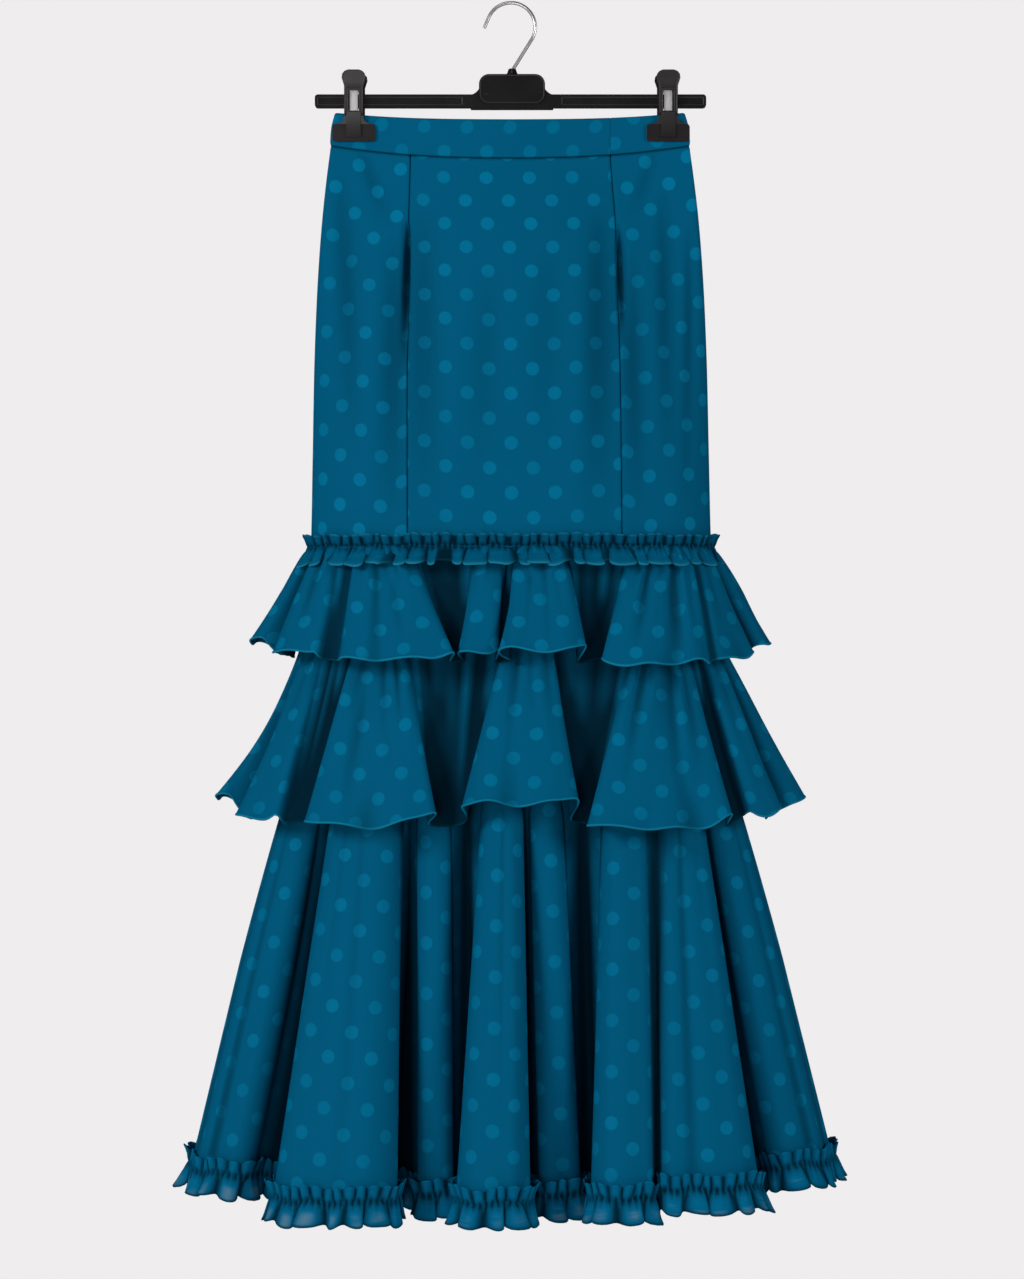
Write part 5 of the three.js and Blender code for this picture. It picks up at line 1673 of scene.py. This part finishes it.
clear_bench()
bpy.ops.mesh.primitive_cone_add(
    vertices=32, radius1=COLLAR_FOOT_RADIUS * MM, radius2=COLLAR_TOP_RADIUS * MM,
    depth=(COLLAR_TOP - COLLAR_FOOT) * MM,
    location=(SHANK_X * MM, 0, (COLLAR_TOP + COLLAR_FOOT) / 2 * MM))
collar = bpy.context.object
collar.name = collar.data.name = "Hook_collar"
bpy.ops.object.transform_apply(location=True, rotation=True, scale=True)
pick(collar, "FACE", lambda x, y, z: z > COLLAR_TOP - NEAR)
bpy.ops.mesh.inset(thickness=SOCKET_RIM * MM)
extrude(z=-SOCKET_DEEP)
cut(collar, (0, 0, FLARE_Z), (0, 0, 1))
pick(collar, "VERT", lambda x, y, z: abs(z - FLARE_Z) < NEAR and math.hypot(x - SHANK_X, y) > 3)
bpy.ops.transform.resize(value=(FLARE_SHARE, FLARE_SHARE, 1),
                         center_override=(SHANK_X * MM, 0, FLARE_Z * MM))
round_edges(collar, 0.3)
dress(collar, plastic, ["hook_collar"])
print("collar points", len(collar.data.vertices))

# %% [markdown]
# ## Clips
# A clip is two levers held shut by a flat spring. Each lever is one strip that is extruded
# upwards row by row: a wide jaw, hollow shoulders, a stem that goes over the bar, and a
# rounded paddle for the thumb. A window is cut through the stem by two insets and a bridge
# between them, and a tongue below it stiffens the jaw. Each row of the table is a height, half
# the width there, and how far the inner face stands from the bar's middle.

# %% Levers
LEVER_THICK = 2.6
LEVER_ROWS = [
    (-137.5, 21.5, 2.9),
    (-120.5, 21.5, 3.0),
    (-119.7, 15.5, 3.2),
    (-118.4, 12.3, 3.5),
    (-116.4, 10.4, 3.9),
    (-113.5, 9.5, 4.5),
    (-112.0, 9.5, 4.9),
    (-82.5, 9.5, 6.5),
    (-79.0, 10.6, 7.1),
    (-75.0, 11.9, 8.0),
    (-71.0, 11.3, 8.7),
    (-68.4, 9.0, 9.2),
    (-67.0, 5.5, 9.5),
]
STEM_MIDDLE = (LEVER_ROWS[6][0] + LEVER_ROWS[7][0]) / 2
WINDOW_MARGIN = 4.5
PANEL_FOOT = -113.0
PANEL = (0.8, 0.6, 0.6)
FACE_NEAR = 0.4
JAW_CORNER = 3.0
TONGUE_HALF = 7.0
TONGUE_FOOT = -133.5
TONGUE_TOP = -109.0
TONGUE_PROUD = 2.0
TONGUE_LEAN = 2.4
CLIP_AT = 157
BACK_SHIFT = 1.2


def outer_face(z):
    """How far from the bar's middle the outer face of a lever stands at a height."""
    heights, _, stands = zip(*LEVER_ROWS)
    return np.interp(z, heights, stands) + LEVER_THICK


def lever(name, middle, face):
    """One lever of a clip. face is -1 in front of the bar and 1 behind it."""
    foot, half, out = LEVER_ROWS[0]
    top = LEVER_ROWS[1][0]
    sides = sorted((face * out, face * (out + LEVER_THICK)))
    piece = new_cube(name, (middle - half, sides[0], foot), (middle + half, sides[1], top),
                     (clip_plastic, highlight_plastic))
    pick(piece, "FACE", lambda x, y, z: z > top - NEAR)
    for row in range(2, len(LEVER_ROWS)):
        below, (z, wide, stands) = LEVER_ROWS[row - 1], LEVER_ROWS[row]
        extrude(y=face * (stands - below[2]), z=z - below[0])
        centre = (middle * MM, face * (stands + LEVER_THICK / 2) * MM, z * MM)
        bpy.ops.transform.resize(value=(wide / below[1], 1, 1), center_override=centre)
    pick(piece, "FACE", lambda x, y, z: abs(z - STEM_MIDDLE) < 0.5 and abs(x - middle) < 1)
    bpy.ops.mesh.inset(thickness=WINDOW_MARGIN * MM, use_individual=True)
    bpy.ops.mesh.bridge_edge_loops()
    pick(piece, "FACE", lambda x, y, z: z > PANEL_FOOT and abs(y) > outer_face(z) - FACE_NEAR)
    sink_panel(piece, *PANEL)
    corner_y = abs(face * (out + LEVER_THICK / 2))
    pick(piece, "EDGE", lambda x, y, z: abs(abs(x - middle) - half) < NEAR
         and abs(abs(y) - corner_y) < FACE_NEAR and (z < foot + NEAR or abs(z - top) < NEAR))
    bpy.ops.mesh.bevel(offset=JAW_CORNER * MM, segments=4, affect="EDGES")
    sides = sorted((face * (out + TONGUE_PROUD), face * (out + LEVER_THICK + TONGUE_PROUD)))
    tongue = new_cube(name + "_tongue", (middle - TONGUE_HALF, sides[0], TONGUE_FOOT),
                      (middle + TONGUE_HALF, sides[1], TONGUE_TOP), (clip_plastic, highlight_plastic))
    cut(tongue, (0, 0, top), (0, 0, 1))
    pick(tongue, "VERT", lambda x, y, z: z > TONGUE_TOP - NEAR)
    bpy.ops.transform.translate(value=(0, face * TONGUE_LEAN * MM, 0))
    join(piece, tongue)
    round_edges(piece, 0.4)
    return piece


for side, way in (("left", -1), ("right", 1)):
    for place, face in (("front", -1), ("back", 1)):
        middle = way * (CLIP_AT - (BACK_SHIFT if face > 0 else 0))
        piece = lever(f"Clip_{side}_{place}", middle, face)
        dress(piece, clip_plastic, [f"clip_{side}_{place}"])
        print(piece.name, "points", len(piece.data.vertices))

# %% [markdown]
# ## Springs
# The spring is one flat strip bent over the bar. Its front arm is extruded from a thin block,
# the arch is spun over the top, and the back arm goes down again.

# %% Springs
SPRING_WIDE = 8.0
SPRING_INNER = 5.0
SPRING_OUTER = 5.7
SPRING_TOP = -86.5
SPRING_FOOT = -107

for side, way in (("left", -1), ("right", 1)):
    middle = way * CLIP_AT
    spring = new_cube(f"Clip_{side}_spring", (middle - SPRING_WIDE / 2, -SPRING_OUTER, SPRING_FOOT),
                      (middle + SPRING_WIDE / 2, -SPRING_INNER, SPRING_TOP))
    pick(spring, "FACE", lambda x, y, z: z > SPRING_TOP - NEAR)
    bpy.ops.mesh.spin(steps=12, angle=math.pi, center=(0, 0, SPRING_TOP * MM), axis=(1, 0, 0))
    extrude(z=SPRING_FOOT - SPRING_TOP)
    round_edges(spring, 0.15)
    dress(spring, strip_steel, [f"clip_{side}_spring"])
    print(spring.name, "points", len(spring.data.vertices))
